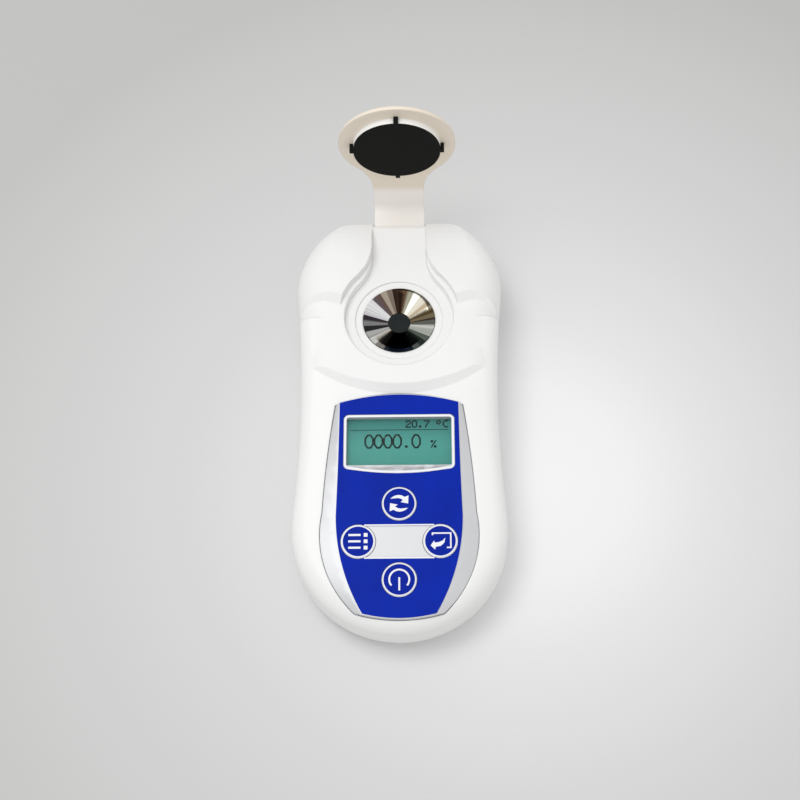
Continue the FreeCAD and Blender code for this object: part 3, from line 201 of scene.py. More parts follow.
@dataclass(frozen=True)
class Finish:
    """Surface of one real material, with slow tone drift and a fine relief.

    Attributes:
        name: Name of the material.
        colour: sRGB colour as hex.
        roughness: Microscopic roughness of the surface.
        metallic: 1 for bare metal.
        ior: Refractive index of a non-metal.
        drift: Share by which the tone varies over the piece.
        drift_mm: Size of the tone's patches.
        grain_mm: Size of the relief's cells.
        relief_mm: Height of the relief.
        shine: Specular level; 0.5 is a clean surface, less is a dulled one.
        edge_mm: Radius that softens the light along sharp moulded edges.
    """

    name: str
    colour: str
    roughness: float
    metallic: float = 0.0
    ior: float = 1.5
    drift: float = 0.02
    drift_mm: float = 14.0
    grain_mm: float = 0.5
    relief_mm: float = 0.002
    shine: float = 0.5
    edge_mm: float = 0.0

    def shader(self, tree: Tree) -> Node:
        """Add the surface's shader with its tone, gloss and relief.

        Args:
            tree: Tree of the material.

        Returns:
            The principled shader.
        """
        spot = spot_on(tree)
        patches = add_node(
            tree,
            "ShaderNodeTexNoise",
            {"Scale": cycles_per(self.drift_mm), "Detail": 3.0, "Roughness": 0.55},
            {"Vector": spot},
        )
        grain = add_node(
            tree,
            "ShaderNodeTexNoise",
            {"Scale": cycles_per(self.grain_mm), "Detail": 2.0},
            {"Vector": spot},
        )
        stops = [
            (TONE_LOW, tinted(self.colour, 1 - self.drift)),
            (TONE_HIGH, tinted(self.colour, 1 + self.drift)),
        ]
        tone = add_node(tree, "ShaderNodeValToRGB", {"stops": stops}, {"Fac": patches.outputs["Fac"]})
        gloss = add_node(
            tree,
            "ShaderNodeMapRange",
            {
                "To Min": self.roughness * (1 - GLOSS_SPREAD),
                "To Max": min(1.0, self.roughness * (1 + GLOSS_SPREAD)),
            },
            {"Value": patches.outputs["Fac"]},
        )
        facing = {"Height": grain.outputs["Fac"]}
        if self.edge_mm:
            soft = add_node(tree, "ShaderNodeBevel", {"samples": 6, "Radius": self.edge_mm * MM})
            facing["Normal"] = soft.outputs["Normal"]
        relief = add_node(
            tree, "ShaderNodeBump", {"Strength": RELIEF_STRENGTH, "Distance": self.relief_mm * MM}, facing
        )
        settings = {"Metallic": self.metallic, "Specular IOR Level": self.shine}
        if self.metallic < 1.0:
            settings["IOR"] = self.ior
        links = {
            "Base Color": tone.outputs["Color"],
            "Roughness": gloss.outputs["Result"],
            "Normal": relief.outputs["Normal"],
        }
        return add_node(tree, "ShaderNodeBsdfPrincipled", settings, links)

    def vary(self, tree: Tree, shader: Node) -> None:
        """Change the plain surface, where a kind of finish differs from it."""

    def material(self) -> Material:
        """Build the material.

        Returns:
            A material with this finish.
        """
        material, tree = blank_material(self.name)
        shader = self.shader(tree)
        self.vary(tree, shader)
        add_node(tree, "ShaderNodeOutputMaterial", links={"Surface": shader.outputs["BSDF"]})
        return material


@dataclass(frozen=True)
class ClearFinish(Finish):
    """See-through pane: it shows what lies under it and keeps a clear reflection.

    Attributes:
        cover: Share of the light that the pane's own surface returns.
    """

    cover: float = 0.1

    def vary(self, tree: Tree, shader: Node) -> None:
        """Make the surface mostly clear."""
        shader.inputs["Alpha"].default_value = self.cover


@dataclass(frozen=True)
class TurnedChrome(Finish):
    """Chrome on a turned cone, with painted reflections in rays of light and dark that run out from the
    middle.

    Attributes:
        painted_reflections: Angle as a share of a turn, with the colour of the reflection painted there.
        streaks: Noise cycles in one turn.
        wander: Share of a turn by which a streak may shift the painted reflections.
        dullest: Share of its painted reflection that the darkest streak of sheen keeps.
        brightest: Share of its painted reflection that the lightest streak of sheen has.
    """

    painted_reflections: tuple[tuple[float, str], ...] = ()
    streaks: float = 60.0
    wander: float = 0.045
    dullest: float = 0.55
    brightest: float = 1.4

    def vary(self, tree: Tree, shader: Node) -> None:
        """Paint reflections onto the metal's colour by the angle about the axis, with streaks of painted
        sheen.

        Args:
            tree: Tree of the material.
            shader: Its principled shader.
        """
        low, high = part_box("sample_dish")
        axis = ((low.x + high.x) / 2, (low.y + high.y) / 2, 0.0)
        shifted = add_node(
            tree, "ShaderNodeVectorMath", {"operation": "SUBTRACT", 0: axis}, {1: spot_on(tree)}
        )
        turn = add_node(
            tree, "ShaderNodeTexGradient", {"gradient_type": "RADIAL"}, {"Vector": shifted.outputs[0]}
        )
        streaks = add_node(
            tree,
            "ShaderNodeTexNoise",
            {"noise_dimensions": "1D", "Scale": self.streaks, "Detail": 5.0, "Roughness": 0.75},
            {"W": turn.outputs["Fac"]},
        )
        wander = add_node(
            tree,
            "ShaderNodeMath",
            {"operation": "MULTIPLY_ADD", 1: self.wander},
            {0: streaks.outputs["Fac"], 2: turn.outputs["Fac"]},
        )
        # Painted reflections: the metal's colour is set by the angle about the axis
        stops = [(at, srgb(code)) for at, code in self.painted_reflections]
        rays = add_node(tree, "ShaderNodeValToRGB", {"stops": stops}, {"Fac": wander.outputs[0]})
        rays.color_ramp.interpolation = "CONSTANT"
        # Painted sheen: streaks along the turning marks make the painted reflections lighter and darker
        sheen = add_node(
            tree,
            "ShaderNodeMapRange",
            {"To Min": self.dullest, "To Max": self.brightest},
            {"Value": streaks.outputs["Fac"]},
        )
        streaked = add_node(
            tree,
            "ShaderNodeVectorMath",
            {"operation": "SCALE"},
            {0: rays.outputs["Color"], "Scale": sheen.outputs["Result"]},
        )
        tree.links.new(streaked.outputs[0], shader.inputs["Base Color"])


@dataclass(frozen=True)
class CoverFinish(Finish):
    """Ivory cover with painted highlights: a whiter pad boss and a paler leg by the hinge.

    Attributes:
        boss_radius: Radius about the pad's axis inside which the cover is the boss.
        boss_highlight_colour: sRGB colour of the highlight painted on the boss.
        skin: Thickness of the cover; the boss ends half-way through it.
        leg_height: Height over the pin up to which the leg carries its painted highlight.
        leg_highlight_colour: sRGB colour of the highlight painted on the leg.
        leg_blend: Half the height over which one tone runs into the other.
    """

    boss_radius: float = 11.75
    boss_highlight_colour: str = "#fbfaf8"
    skin: float = 1.5
    leg_height: float = 8.5
    leg_highlight_colour: str = "#fbf7f2"
    leg_blend: float = 1.5

    def vary(self, tree: Tree, shader: Node) -> None:
        """Paint highlights on the boss and the leg over the plastic's tone.

        Args:
            tree: Tree of the material.
            shader: Its principled shader.
        """
        low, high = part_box("lid_pad")
        boss_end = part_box("lid")[1].y - self.skin / 2 * MM
        leg_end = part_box("hinge_pin")[1].z + self.leg_height * MM
        axes = add_node(tree, "ShaderNodeSeparateXYZ", links={"Vector": spot_on(tree)})
        rise = add_node(
            tree,
            "ShaderNodeMath",
            {"operation": "SUBTRACT", 1: (low.z + high.z) / 2},
            {0: axes.outputs["Z"]},
        )
        flat = add_node(tree, "ShaderNodeCombineXYZ", links={"X": axes.outputs["X"], "Y": rise.outputs[0]})
        reach = add_node(tree, "ShaderNodeVectorMath", {"operation": "LENGTH"}, {0: flat.outputs[0]})
        inside, before = (
            add_node(tree, "ShaderNodeMath", {"operation": "LESS_THAN", 1: limit}, {0: value})
            for value, limit in (
                (reach.outputs["Value"], self.boss_radius * MM),
                (axes.outputs["Y"], boss_end),
            )
        )
        boss_highlight = add_node(
            tree, "ShaderNodeMath", {"operation": "MULTIPLY"}, {0: inside.outputs[0], 1: before.outputs[0]}
        )
        leg_highlight = add_node(
            tree,
            "ShaderNodeMapRange",
            {"From Min": leg_end + self.leg_blend * MM, "From Max": leg_end - self.leg_blend * MM},
            {"Value": axes.outputs["Z"]},
        )
        tone = shader.inputs["Base Color"].links[0].from_socket
        # Painted highlights: the leg and the boss are mixed towards paler colours
        for share, code in (
            (leg_highlight.outputs["Result"], self.leg_highlight_colour),
            (boss_highlight.outputs[0], self.boss_highlight_colour),
        ):
            mix = add_node(
                tree,
                "ShaderNodeMix",
                {"data_type": "RGBA", MIX_SECOND: srgb(code)},
                {"Factor": share, MIX_FIRST: tone},
            )
            tone = mix.outputs[MIX_RESULT]
        tree.links.new(tone, shader.inputs["Base Color"])


@dataclass(frozen=True)
class BandedFinish(Finish):
    """Finish whose colour changes along Y.

    Attributes:
        low_mm: Place where the bands start.
        high_mm: Place where the bands end.
        bands: Share of the way from low to high, with the colour from there on.
        blended: True where one band runs softly into the next.
    """

    low_mm: float = 0.0
    high_mm: float = 1.0
    bands: tuple[tuple[float, str], ...] = ()
    blended: bool = False

    def vary(self, tree: Tree, shader: Node) -> None:
        """Lay bands of colour over the surface.

        Args:
            tree: Tree of the material.
            shader: Its principled shader.
        """
        axes = add_node(tree, "ShaderNodeSeparateXYZ", links={"Vector": spot_on(tree)})
        along = add_node(
            tree,
            "ShaderNodeMapRange",
            {"From Min": self.low_mm * MM, "From Max": self.high_mm * MM},
            {"Value": axes.outputs["Y"]},
        )
        stops = [(at, srgb(code)) for at, code in self.bands]
        steps = add_node(tree, "ShaderNodeValToRGB", {"stops": stops}, {"Fac": along.outputs["Result"]})
        steps.color_ramp.interpolation = "EASE" if self.blended else "CONSTANT"
        tree.links.new(steps.outputs["Color"], shader.inputs["Base Color"])


# Injection-moulded ABS from a finely blasted tool: a broad soft highlight on a clean white
HOUSING_ABS = Finish(
    "white_abs_satin_moulded", "#f3f3f2", 0.44, ior=1.53, drift=0.006, relief_mm=0.0015, edge_mm=0.5
)
# Compression-moulded silicone rubber: it swallows light and shows a dusty fine grain
PAD_SILICONE = Finish(
    "black_silicone_rubber_moulded",
    "#131312",
    0.72,
    ior=1.41,
    drift=0.15,
    grain_mm=0.35,
    relief_mm=0.01,
    shine=0.15,
)
# Nitrile rings, smoother than the pad
SEAL_NITRILE = Finish("black_nitrile_rubber_moulded", "#1b1b1c", 0.6, ior=1.52, drift=0.08)
# Aluminium flake lacquer on ABS: a bright satin with fine sparkle
SILVER_LACQUER = Finish(
    "silver_lacquer_sprayed", "#d2d3d5", 0.4, metallic=0.25, drift=0.03, grain_mm=0.12, relief_mm=0.0015
)
# Screen-printed polyester film: deep blue under a satin face with faint ink mottling
BLUE_FILM = Finish(
    "blue_polyester_film_printed",
    "#0427a4",
    0.42,
    ior=1.57,
    drift=0.1,
    drift_mm=9.0,
    relief_mm=0.001,
    shine=0.05,
)
# Blue screen ink on the key tops, in the label's shade
BLUE_INK = Finish(
    "blue_ink_screen_printed", "#08259c", 0.4, ior=1.5, drift=0.05, drift_mm=3.0, relief_mm=0.001, shine=0.05
)
# Moulded white key caps, which show as the ring round the blue print
WHITE_KEY = Finish(
    "white_abs_key_moulded", "#eeeff2", 0.32, ior=1.53, drift=0.01, drift_mm=3.0, relief_mm=0.001
)
# White screen ink: opaque and slightly dull, with a dry pigment grain
WHITE_INK = Finish(
    "white_ink_screen_printed", "#f2f3f6", 0.45, ior=1.5, drift=0.02, drift_mm=2.0, grain_mm=0.1
)
# Acrylic pane, flame polished: nearly all of the light goes through
CLEAR_ACRYLIC = ClearFinish(
    "clear_acrylic_polished", "#f4fbfa", 0.04, ior=1.49, drift=0.0, relief_mm=0.0, cover=0.015
)
# Dark pixels of the display, which leave a bluish green-black
PIXEL_DYE = Finish("lcd_dye_dark", "#04191f", 0.8, drift=0.18, drift_mm=3.0, relief_mm=0.0, shine=0.02)
# Crown glass prism over a dark chamber
PRISM_GLASS = Finish(
    "crown_glass_polished", "#0d1516", 0.3, ior=1.52, drift=0.3, drift_mm=1.5, relief_mm=0.0, shine=0.25
)
# Fibreglass board under green solder mask: the weave shows as a fine mottling
SOLDER_MASK = Finish("green_solder_mask", "#1f6b3c", 0.35, ior=1.55, drift=0.12, drift_mm=2.5, grain_mm=0.4)
# Epoxy and filled nylon parts, moulded matt black
BLACK_NYLON = Finish(
    "black_nylon_moulded", "#1d1d1f", 0.55, ior=1.53, drift=0.08, grain_mm=0.3, relief_mm=0.006
)
# Water-clear epoxy of the lamp, with a warm tint from its chip
LAMP_EPOXY = Finish("amber_epoxy_cast", "#e5c36a", 0.12, ior=1.56, drift=0.05, drift_mm=1.0)
# Opal acrylic that spreads the lamp's light
OPAL_ACRYLIC = Finish("opal_acrylic_moulded", "#dfe8dd", 0.35, ior=1.49, drift=0.02)
# Ground stainless pin: long fine lines from centreless grinding
GROUND_STEEL = Finish(
    "stainless_steel_ground", "#b9b9b6", 0.28, metallic=1.0, drift=0.05, grain_mm=0.2, relief_mm=0.001
)
# Zinc-plated steel screws: a cold grey with cloudy patches
ZINC_STEEL = Finish(
    "zinc_plated_steel", "#a4a6a8", 0.36, metallic=1.0, drift=0.1, drift_mm=1.2, grain_mm=0.2
)
# Nickel on spring bronze
NICKEL_SPRING = Finish("nickel_plated_bronze", "#c9c3b4", 0.25, metallic=1.0, drift=0.06, drift_mm=2.0)
# The housing's resin with less pigment, so it looks warmer and a little duller
# Its pad boss and its leg by the hinge carry painted highlights
COVER_ABS = CoverFinish(
    "ivory_abs_moulded_painted_highlights", "#efe3d2", 0.36, ior=1.53, drift=0.012, relief_mm=0.002, edge_mm=0.3
)
# Painted reflections in rays on the turned dish: bright on the left, dark above and below, warm on the right
DISH_PAINTED_REFLECTIONS = (
    (0.00, "#8f9088"), (0.02, "#3d352b"), (0.035, "#7c7058"), (0.055, "#57492f"),
    (0.075, "#938e80"), (0.10, "#5d5446"), (0.125, "#6a675f"), (0.16, "#84827b"),
    (0.20, "#4b4a40"), (0.225, "#2b2017"), (0.275, "#3a2a22"), (0.30, "#8a7c70"),
    (0.33, "#b5a898"), (0.36, "#6d5a52"), (0.385, "#6e6266"), (0.41, "#f4f3f4"),
    (0.47, "#dcdadd"), (0.49, "#3a333a"), (0.52, "#8c8c8b"), (0.55, "#303031"),
    (0.575, "#b9b9b6"), (0.62, "#dddcd8"), (0.66, "#8b8781"), (0.70, "#2a3038"),
    (0.73, "#0f1724"), (0.80, "#1b2430"), (0.835, "#5b6260"), (0.87, "#2d3633"),
    (0.90, "#5f665f"), (0.93, "#b9bdb4"), (0.97, "#d6d8d0"), (0.99, "#6a6b64"),
)
# Bright chrome over fine turning marks, with painted reflections in rays out from the middle and painted
# sheen along the marks
DISH_CHROME = TurnedChrome("chrome_plated_turned_painted_reflections", "#c8c8c6", 0.1, 1.0, relief_mm=0.0, painted_reflections=DISH_PAINTED_REFLECTIONS)
# Printed film round the cell: bare end, dark print, copper print, bare end
CELL_SLEEVE = BandedFinish(
    "cell_sleeve_printed",
    "#1d1e22",
    0.3,
    drift=0.03,
    low_mm=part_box("battery_cell")[0].y / MM,
    high_mm=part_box("battery_cell")[1].y / MM,
    bands=((0.0, "#b9b7b2"), (0.02, "#1d1e22"), (0.72, "#b5793f"), (0.965, "#b9b7b2")),
)


@dataclass
class Deck:
    """The tilted deck's own frame, in which the panel, keys and display are laid out.

    Attributes:
        tilt_deg: Slope of the deck towards the key end.
        height: Height of the deck's plane where y is 0.
        label_face: Height of the label's face over the deck.
        cap_proud: How far a key's top stands over the label.
    """

    tilt_deg: float = 5.0
    height: float = 20.75
    label_face: float = 0.7
    cap_proud: float = 0.25

    def matrix(self) -> Matrix:
        """Transform from the deck's millimetres to the frame's metres."""
        lift = Matrix.Translation(Vector((0.0, 0.0, self.height)))
        return Matrix.Scale(MM, 4) @ lift @ Matrix.Rotation(math.radians(self.tilt_deg), 4, "X")

    def local(self, point: Vector) -> Vector:
        """A point of the frame, in the deck's millimetres."""
        return self.matrix().inverted() @ point

    def key_centre(self, key: Key) -> Point:
        """Find where a key's axis crosses the deck.

        Args:
            key: The key.

        Returns:
            Plan place of the key's axis in the deck's frame.
        """
        low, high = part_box("plunger_" + key.value)
        middle = self.local((low + high) / 2)
        return (middle.x, middle.y)


def rectangle(left: float, bottom: float, right: float, top: float) -> list[Point]:
    """Corners of a rectangle, from the lower left one on."""
    return [(left, bottom), (right, bottom), (right, top), (left, top)]


class Sheet:
    """Thin flat shapes in one plane, gathered into one mesh."""

    def __init__(self, low: float, high: float) -> None:
        """Start an empty sheet.

        Args:
            low: Height of its lower face.
            high: Height of its upper face.
        """
        self.low = low
        self.high = high
        self.mesh = bmesh.new()

    def add_outline(self, outline: Sequence[Point]) -> None:
        """Add a flat shape that fills an outline, which doesn't repeat its first point."""
        corners = [self.mesh.verts.new((x, y, self.low)) for x, y in outline]
        self.mesh.faces.new(corners)

    def add_ribbon(self, line: Sequence[Point], width: float, closed: bool = False) -> None:
        """Add a band of even width along a line, with mitred corners.

        Args:
            line: Plan points of the band's middle.
            width: Width of the band.
            closed: True where the last point joins the first.
        """
        count = len(line)
        pairs = []
        for index, (x, y) in enumerate(line):
            before = line[index - 1] if index or closed else None
            after = line[(index + 1) % count] if index < count - 1 or closed else None
            sides = [self._side(a, b) for a, b in ((before, (x, y)), ((x, y), after)) if a and b]
            mitre = sum(sides, Vector((0.0, 0.0)))
            mitre *= width / 2 / max(SHARPEST_MITRE, mitre.dot(sides[0]))
            offset = Vector((x, y)) + mitre, Vector((x, y)) - mitre
            pairs.append([self.mesh.verts.new((p.x, p.y, self.low)) for p in offset])
        for index in range(count if closed else count - 1):
            (a, b), (c, d) = pairs[index], pairs[(index + 1) % count]
            self.mesh.faces.new((a, b, d, c))

    @staticmethod
    def _side(start: Point, end: Point) -> Vector:
        """Unit vector to the left of a stretch."""
        along = (Vector(end) - Vector(start)).normalized()
        return Vector((-along.y, along.x))

    def make(self, name: str, place: Matrix, body: str, material: Material) -> Piece:
        """Thicken the sheet and turn it into a piece.

        Args:
            name: Name of the piece.
            place: Transform from the sheet's millimetres to metres.
            body: Body that carries the piece.
            material: Its material.

        Returns:
            The piece, riding on its body.
        """
        risen = bmesh.ops.extrude_face_region(self.mesh, geom=self.mesh.faces[:])
        top = [item for item in risen["geom"] if isinstance(item, bmesh.types.BMVert)]
        bmesh.ops.translate(self.mesh, vec=(0.0, 0.0, self.high - self.low), verts=top)
        piece = solid_piece(name, self.mesh, place, material)
        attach(piece, body)
        return piece


def circle(
    centre: Point, radius: float, start: float = 0, end: float = 360, steps: int = 72
) -> list[Point]:
    """Points along a circle.

    Args:
        centre: Middle of the circle.
        radius: Its radius.
        start: First angle in degrees.
        end: Last angle in degrees.
        steps: Number of stretches.

    Returns:
        The points, without the last one where the circle is whole.
    """
    whole = abs(end - start) >= 360.0
    count = steps if whole else steps + 1
    angles = [math.radians(start + (end - start) * i / steps) for i in range(count)]
    return [(centre[0] + radius * math.cos(a), centre[1] + radius * math.sin(a)) for a in angles]


def moved(outline: Sequence[Point], centre: Point, turn_deg: float = 0.0) -> list[Point]:
    """Turn an outline about its own origin by some degrees and move that origin to a centre."""
    c, s = math.cos(math.radians(turn_deg)), math.sin(math.radians(turn_deg))
    return [(centre[0] + c * x - s * y, centre[1] + s * x + c * y) for x, y in outline]


@dataclass
class Paintwork:
    """Puts finishes on the frame's own nodes and shades their rounds smooth.

    Attributes:
        crease_deg: Edges bent by more than this stay sharp.
        weld_mm: Points nearer than this are shaded as one.
        materials: The materials built so far, by name.
    """

    crease_deg: float = 27.0
    weld_mm: float = 0.0005
    materials: dict[str, Material] = field(default_factory=dict)

    def __post_init__(self) -> None:
        """Build the smoothing modifier's node group."""
        self.group = self.smoothing()

    def smoothing(self) -> Tree:
        """Build the modifier that shades rounds smooth and keeps creases.

        Returns:
            A geometry node group with one geometry input and output.
        """
        group = bpy.data.node_groups.new("smooth_rounds", "GeometryNodeTree")
        group.interface.new_socket("Geometry", in_out="INPUT", socket_type="NodeSocketGeometry")
        group.interface.new_socket("Geometry", in_out="OUTPUT", socket_type="NodeSocketGeometry")
        start = add_node(group, "NodeGroupInput")
        welded = add_node(
            group,
            "GeometryNodeMergeByDistance",
            {"Distance": self.weld_mm * MM},
            {"Geometry": start.outputs[0]},
        )
        smooth = add_node(
            group, "GeometryNodeSetShadeSmooth", {"domain": "FACE"}, {"Geometry": welded.outputs[0]}
        )
        angle = add_node(group, "GeometryNodeInputMeshEdgeAngle")
        sharp = add_node(
            group,
            "FunctionNodeCompare",
            {"operation": "GREATER_THAN", 1: math.radians(self.crease_deg)},
            {0: angle.outputs["Unsigned Angle"]},
        )
        creased = add_node(
            group,
            "GeometryNodeSetShadeSmooth",
            {"domain": "EDGE", "Shade Smooth": False},
            {"Geometry": smooth.outputs[0], "Selection": sharp.outputs[0]},
        )
        add_node(group, "NodeGroupOutput", links={0: creased.outputs[0]})
        return group

    def material(self, finish: Finish) -> Material:
        """Build a finish's material, or find it where it was built before.

        Args:
            finish: The finish.

        Returns:
            Its one material.
        """
        if finish.name not in self.materials:
            self.materials[finish.name] = finish.material()
        return self.materials[finish.name]

    def dress(self, finish: Finish, *nodes: str) -> list[Piece]:
        """Give nodes their only material and the smoothing modifier.

        Args:
            finish: The finish.
            nodes: Names of the nodes.

        Returns:
            The nodes' objects.
        """
        pieces = [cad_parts[node] for node in nodes]
        for piece in pieces:
            for place in piece.material_slots:
                place.link = "OBJECT"
                place.material = self.material(finish)
            modifier = piece.modifiers.new("smooth_rounds", "NODES")
            modifier.node_group = self.group
        return pieces


@dataclass
class SubAssembly:
    """A part of the instrument, which dresses its nodes and builds its own pieces.

    Attributes:
        paintwork: Puts finishes on nodes.
        deck: The tilted deck's own frame.
        coats: Finishes, with the names of the nodes that they go on.
    """

    paintwork: Paintwork
    deck: Deck
    coats = {}

    def pieces(self) -> list[Piece]:
        """Build what the solids don't have."""
        return []

    def build(self) -> list[Piece]:
        """Dress the nodes and build the other pieces.

        Returns:
            The dressed nodes, then the built pieces.
        """
        dressed = []
        for finish, nodes in self.coats.items():
            dressed += self.paintwork.dress(finish, *nodes)
        return dressed + self.pieces()

    def lay(self, sheet: Sheet, name: str, finish: Finish) -> Piece:
        """Make a sheet on the deck into a piece of the housing with a name and a finish."""
        return sheet.make(name, self.deck.matrix(), "housing", self.paintwork.material(finish))


class Cover(SubAssembly):
    """Hinged cover with its rubber pad and the hinge pin."""

    coats = {COVER_ABS: ("lid",), PAD_SILICONE: ("lid_pad",), GROUND_STEEL: ("hinge_pin",)}


class SampleWell(SubAssembly):
    """Chromed dish over the prism, with the optics that hang under it."""

    coats = {
        DISH_CHROME: ("sample_dish",),
        SEAL_NITRILE: ("dish_gasket", "prism_seal"),
        PRISM_GLASS: ("prism", "lens"),
        BLACK_NYLON: ("optic_block", "line_sensor", "thermistor"),
        SOLDER_MASK: ("sensor_board",),
        LAMP_EPOXY: ("led",),
        ZINC_STEEL: ("optic_screws",),
    }


class Electronics(SubAssembly):
    """Main board with its chips, switches and screws."""

    coats = {
        SOLDER_MASK: ("main_board",),
        BLACK_NYLON: ("board_chips", "switch_housings"),
        ZINC_STEEL: ("board_screws",),
    }


class Battery(SubAssembly):
    """AAA cell between its two contacts."""

    coats = {CELL_SLEEVE: ("battery_cell",), NICKEL_SPRING: ("contact_leaf", "contact_plate")}


@dataclass
class Display(SubAssembly):
    """Picture of the liquid crystal cell: header, rule and the reading.

    Attributes:
        width: Width of the lit picture.
        height: Height of the lit picture.
        centre_y: Middle of the picture in the deck's frame.
        glass_top: Height of the cell's top face in the deck's frame.
        film: Thickness of the picture and of the marks on it.
        dot: Pitch of the header's dots.
        dot_half: Half a dot's side over the pitch, so that the dots run together.
        advance: Dots from one character of the header to the next.
        stroke: Width of the reading's strokes.
        header_x: Left edge of the header.
        header_y: Foot of the header over the picture's middle, as are the next heights.
        rule_y: Height of the rule under the header.
        rule_half: Half the length of the rule.
        rule_line: Width of the rule.
        reading_y: Height of the reading's middle.
        reading_pitch: Step from one zero before the point to the next.
        reading_x: Middle of the first zero.
        point_x: Middle of the point.
        tenths_x: Middle of the zero after the point.
        percent_x: Left edge of the percent sign.
        zero: Shoulder and crown of a zero about its middle, on the right.
        point: Width and height of the point.
    """

    width: float = 27.5
    height: float = 13.1
    centre_y: float = -10.45
    glass_top: float = -1.6
    film: float = 0.03
    dot: float = 0.28
    dot_half: float = 0.66
    advance: float = 5.8
    stroke: float = 0.46
    header_x: float = 1.7
    header_y: float = 4.15
    rule_y: float = 3.55
    rule_half: float = 12.8
    rule_line: float = 0.168
    reading_y: float = 0.35
    reading_pitch: float = 2.46
    reading_x: float = -7.9
    point_x: float = 1.85
    tenths_x: float = 4.45
    percent_x: float = 8.3
    zero: tuple[Point, Point] = ((1.02, 0.75), (0.38, 1.75))
    point: Point = (0.76, 0.62)

    coats = {BLACK_NYLON: ("lcd_glass",), OPAL_ACRYLIC: ("lcd_backlight",), SEAL_NITRILE: ("zebra_strips",)}
    GLYPHS = {
        "0": ("01110", "10001", "10001", "10001", "10001", "10001", "01110"),
        "2": ("01110", "10001", "00001", "00110", "01000", "10000", "11111"),
        "7": ("11111", "00001", "00010", "00100", "00100", "01000", "01000"),
        ".": ("00000", "00000", "00000", "00000", "00000", "01100", "01100"),
        "o": ("01100", "10010", "10010", "01100", "00000", "00000", "00000"),
        "C": ("00111", "01000", "10000", "10000", "10000", "01000", "00111"),
        " ": ("00000",) * 7,
        "%": ("11001", "11010", "00010", "00100", "01000", "01011", "10011"),
    }

    def add_glyph(self, sheet: Sheet, letter: str, x: float, y: float) -> None:
        """Add one character of square dots.

        Args:
            sheet: Sheet that takes the dots.
            letter: Character of the dot font.
            x: Left edge.
            y: Lower edge.
        """
        half = self.dot * self.dot_half
        rows = self.GLYPHS[letter]
        for row, line in enumerate(rows):
            cy = y + (len(rows) - row - 0.5) * self.dot
            for column, mark in enumerate(line):
                if mark == "1":
                    cx = x + (column + 0.5) * self.dot
                    sheet.add_outline(rectangle(cx - half, cy - half, cx + half, cy + half))

    def add_zero(self, sheet: Sheet, x: float) -> None:
        """Add one tall zero with a pointed top and foot.

        Args:
            sheet: Sheet that takes the digit.
            x: Middle of the digit.
        """
        quarter = list(self.zero)
        outline = quarter + [(-x0, y0) for x0, y0 in reversed(quarter)]
        outline += [(-x0, -y0) for x0, y0 in quarter] + [(x0, -y0) for x0, y0 in reversed(quarter)]
        centre = (x, self.centre_y + self.reading_y)
        sheet.add_ribbon(moved(outline, centre), self.stroke, closed=True)

    def reflector(self) -> BandedFinish:
        """Choose the cell's rear film: a grey green with painted shade that darkens it towards the header.

        Returns:
            The film's finish.
        """
        return BandedFinish(
            "lcd_reflective_film_painted_shade",
            "#57a093",
            0.35,
            drift=0.05,
            drift_mm=6.0,
            shine=0.1,
            low_mm=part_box("lcd_glass")[0].y / MM,
            high_mm=self.centre_y + self.height / 2,
            # Painted shade: lighter along the lower edge, darker towards the header
            bands=((0.0, "#58b0a0"), (0.1, "#43958a"), (0.5, "#469a8f"), (1.0, "#33827b")),
            blended=True,
        )

    def picture(self) -> Sheet:
        """Draw the lit field on the cell.

        Returns:
            The sheet of the field.
        """
        sheet = Sheet(self.glass_top, self.glass_top + self.film)
        half_w, half_h = self.width / 2, self.height / 2
        sheet.add_outline(rectangle(-half_w, self.centre_y - half_h, half_w, self.centre_y + half_h))
        return sheet

    def marks(self) -> Sheet:
        """Draw the header, the rule and the reading.

        Returns:
            The sheet of dark marks.
        """
        sheet = Sheet(self.glass_top + self.film, self.glass_top + 2 * self.film)
        x = self.header_x
        for letter in "20.7 oC":
            self.add_glyph(sheet, letter, x, self.centre_y + self.header_y)
            x += self.advance * self.dot
        rule = self.centre_y + self.rule_y
        sheet.add_ribbon([(-self.rule_half, rule), (self.rule_half, rule)], self.rule_line)
        for index in range(4):
            self.add_zero(sheet, self.reading_x + index * self.reading_pitch)
        self.add_zero(sheet, self.tenths_x)
        foot = self.centre_y + self.reading_y - self.zero[1][1]
        width, height = self.point
        left = self.point_x - width / 2
        sheet.add_outline(rectangle(left, foot, left + width, foot + height))
        self.add_glyph(sheet, "%", self.percent_x, foot)
        return sheet

    def pieces(self) -> list[Piece]:
        """Build the lit field and the marks.

        Returns:
            Both pieces.
        """
        field_piece = self.lay(self.picture(), "display_picture", self.reflector())
        marks_piece = self.lay(self.marks(), "display_marks", PIXEL_DYE)
        return [field_piece, marks_piece]


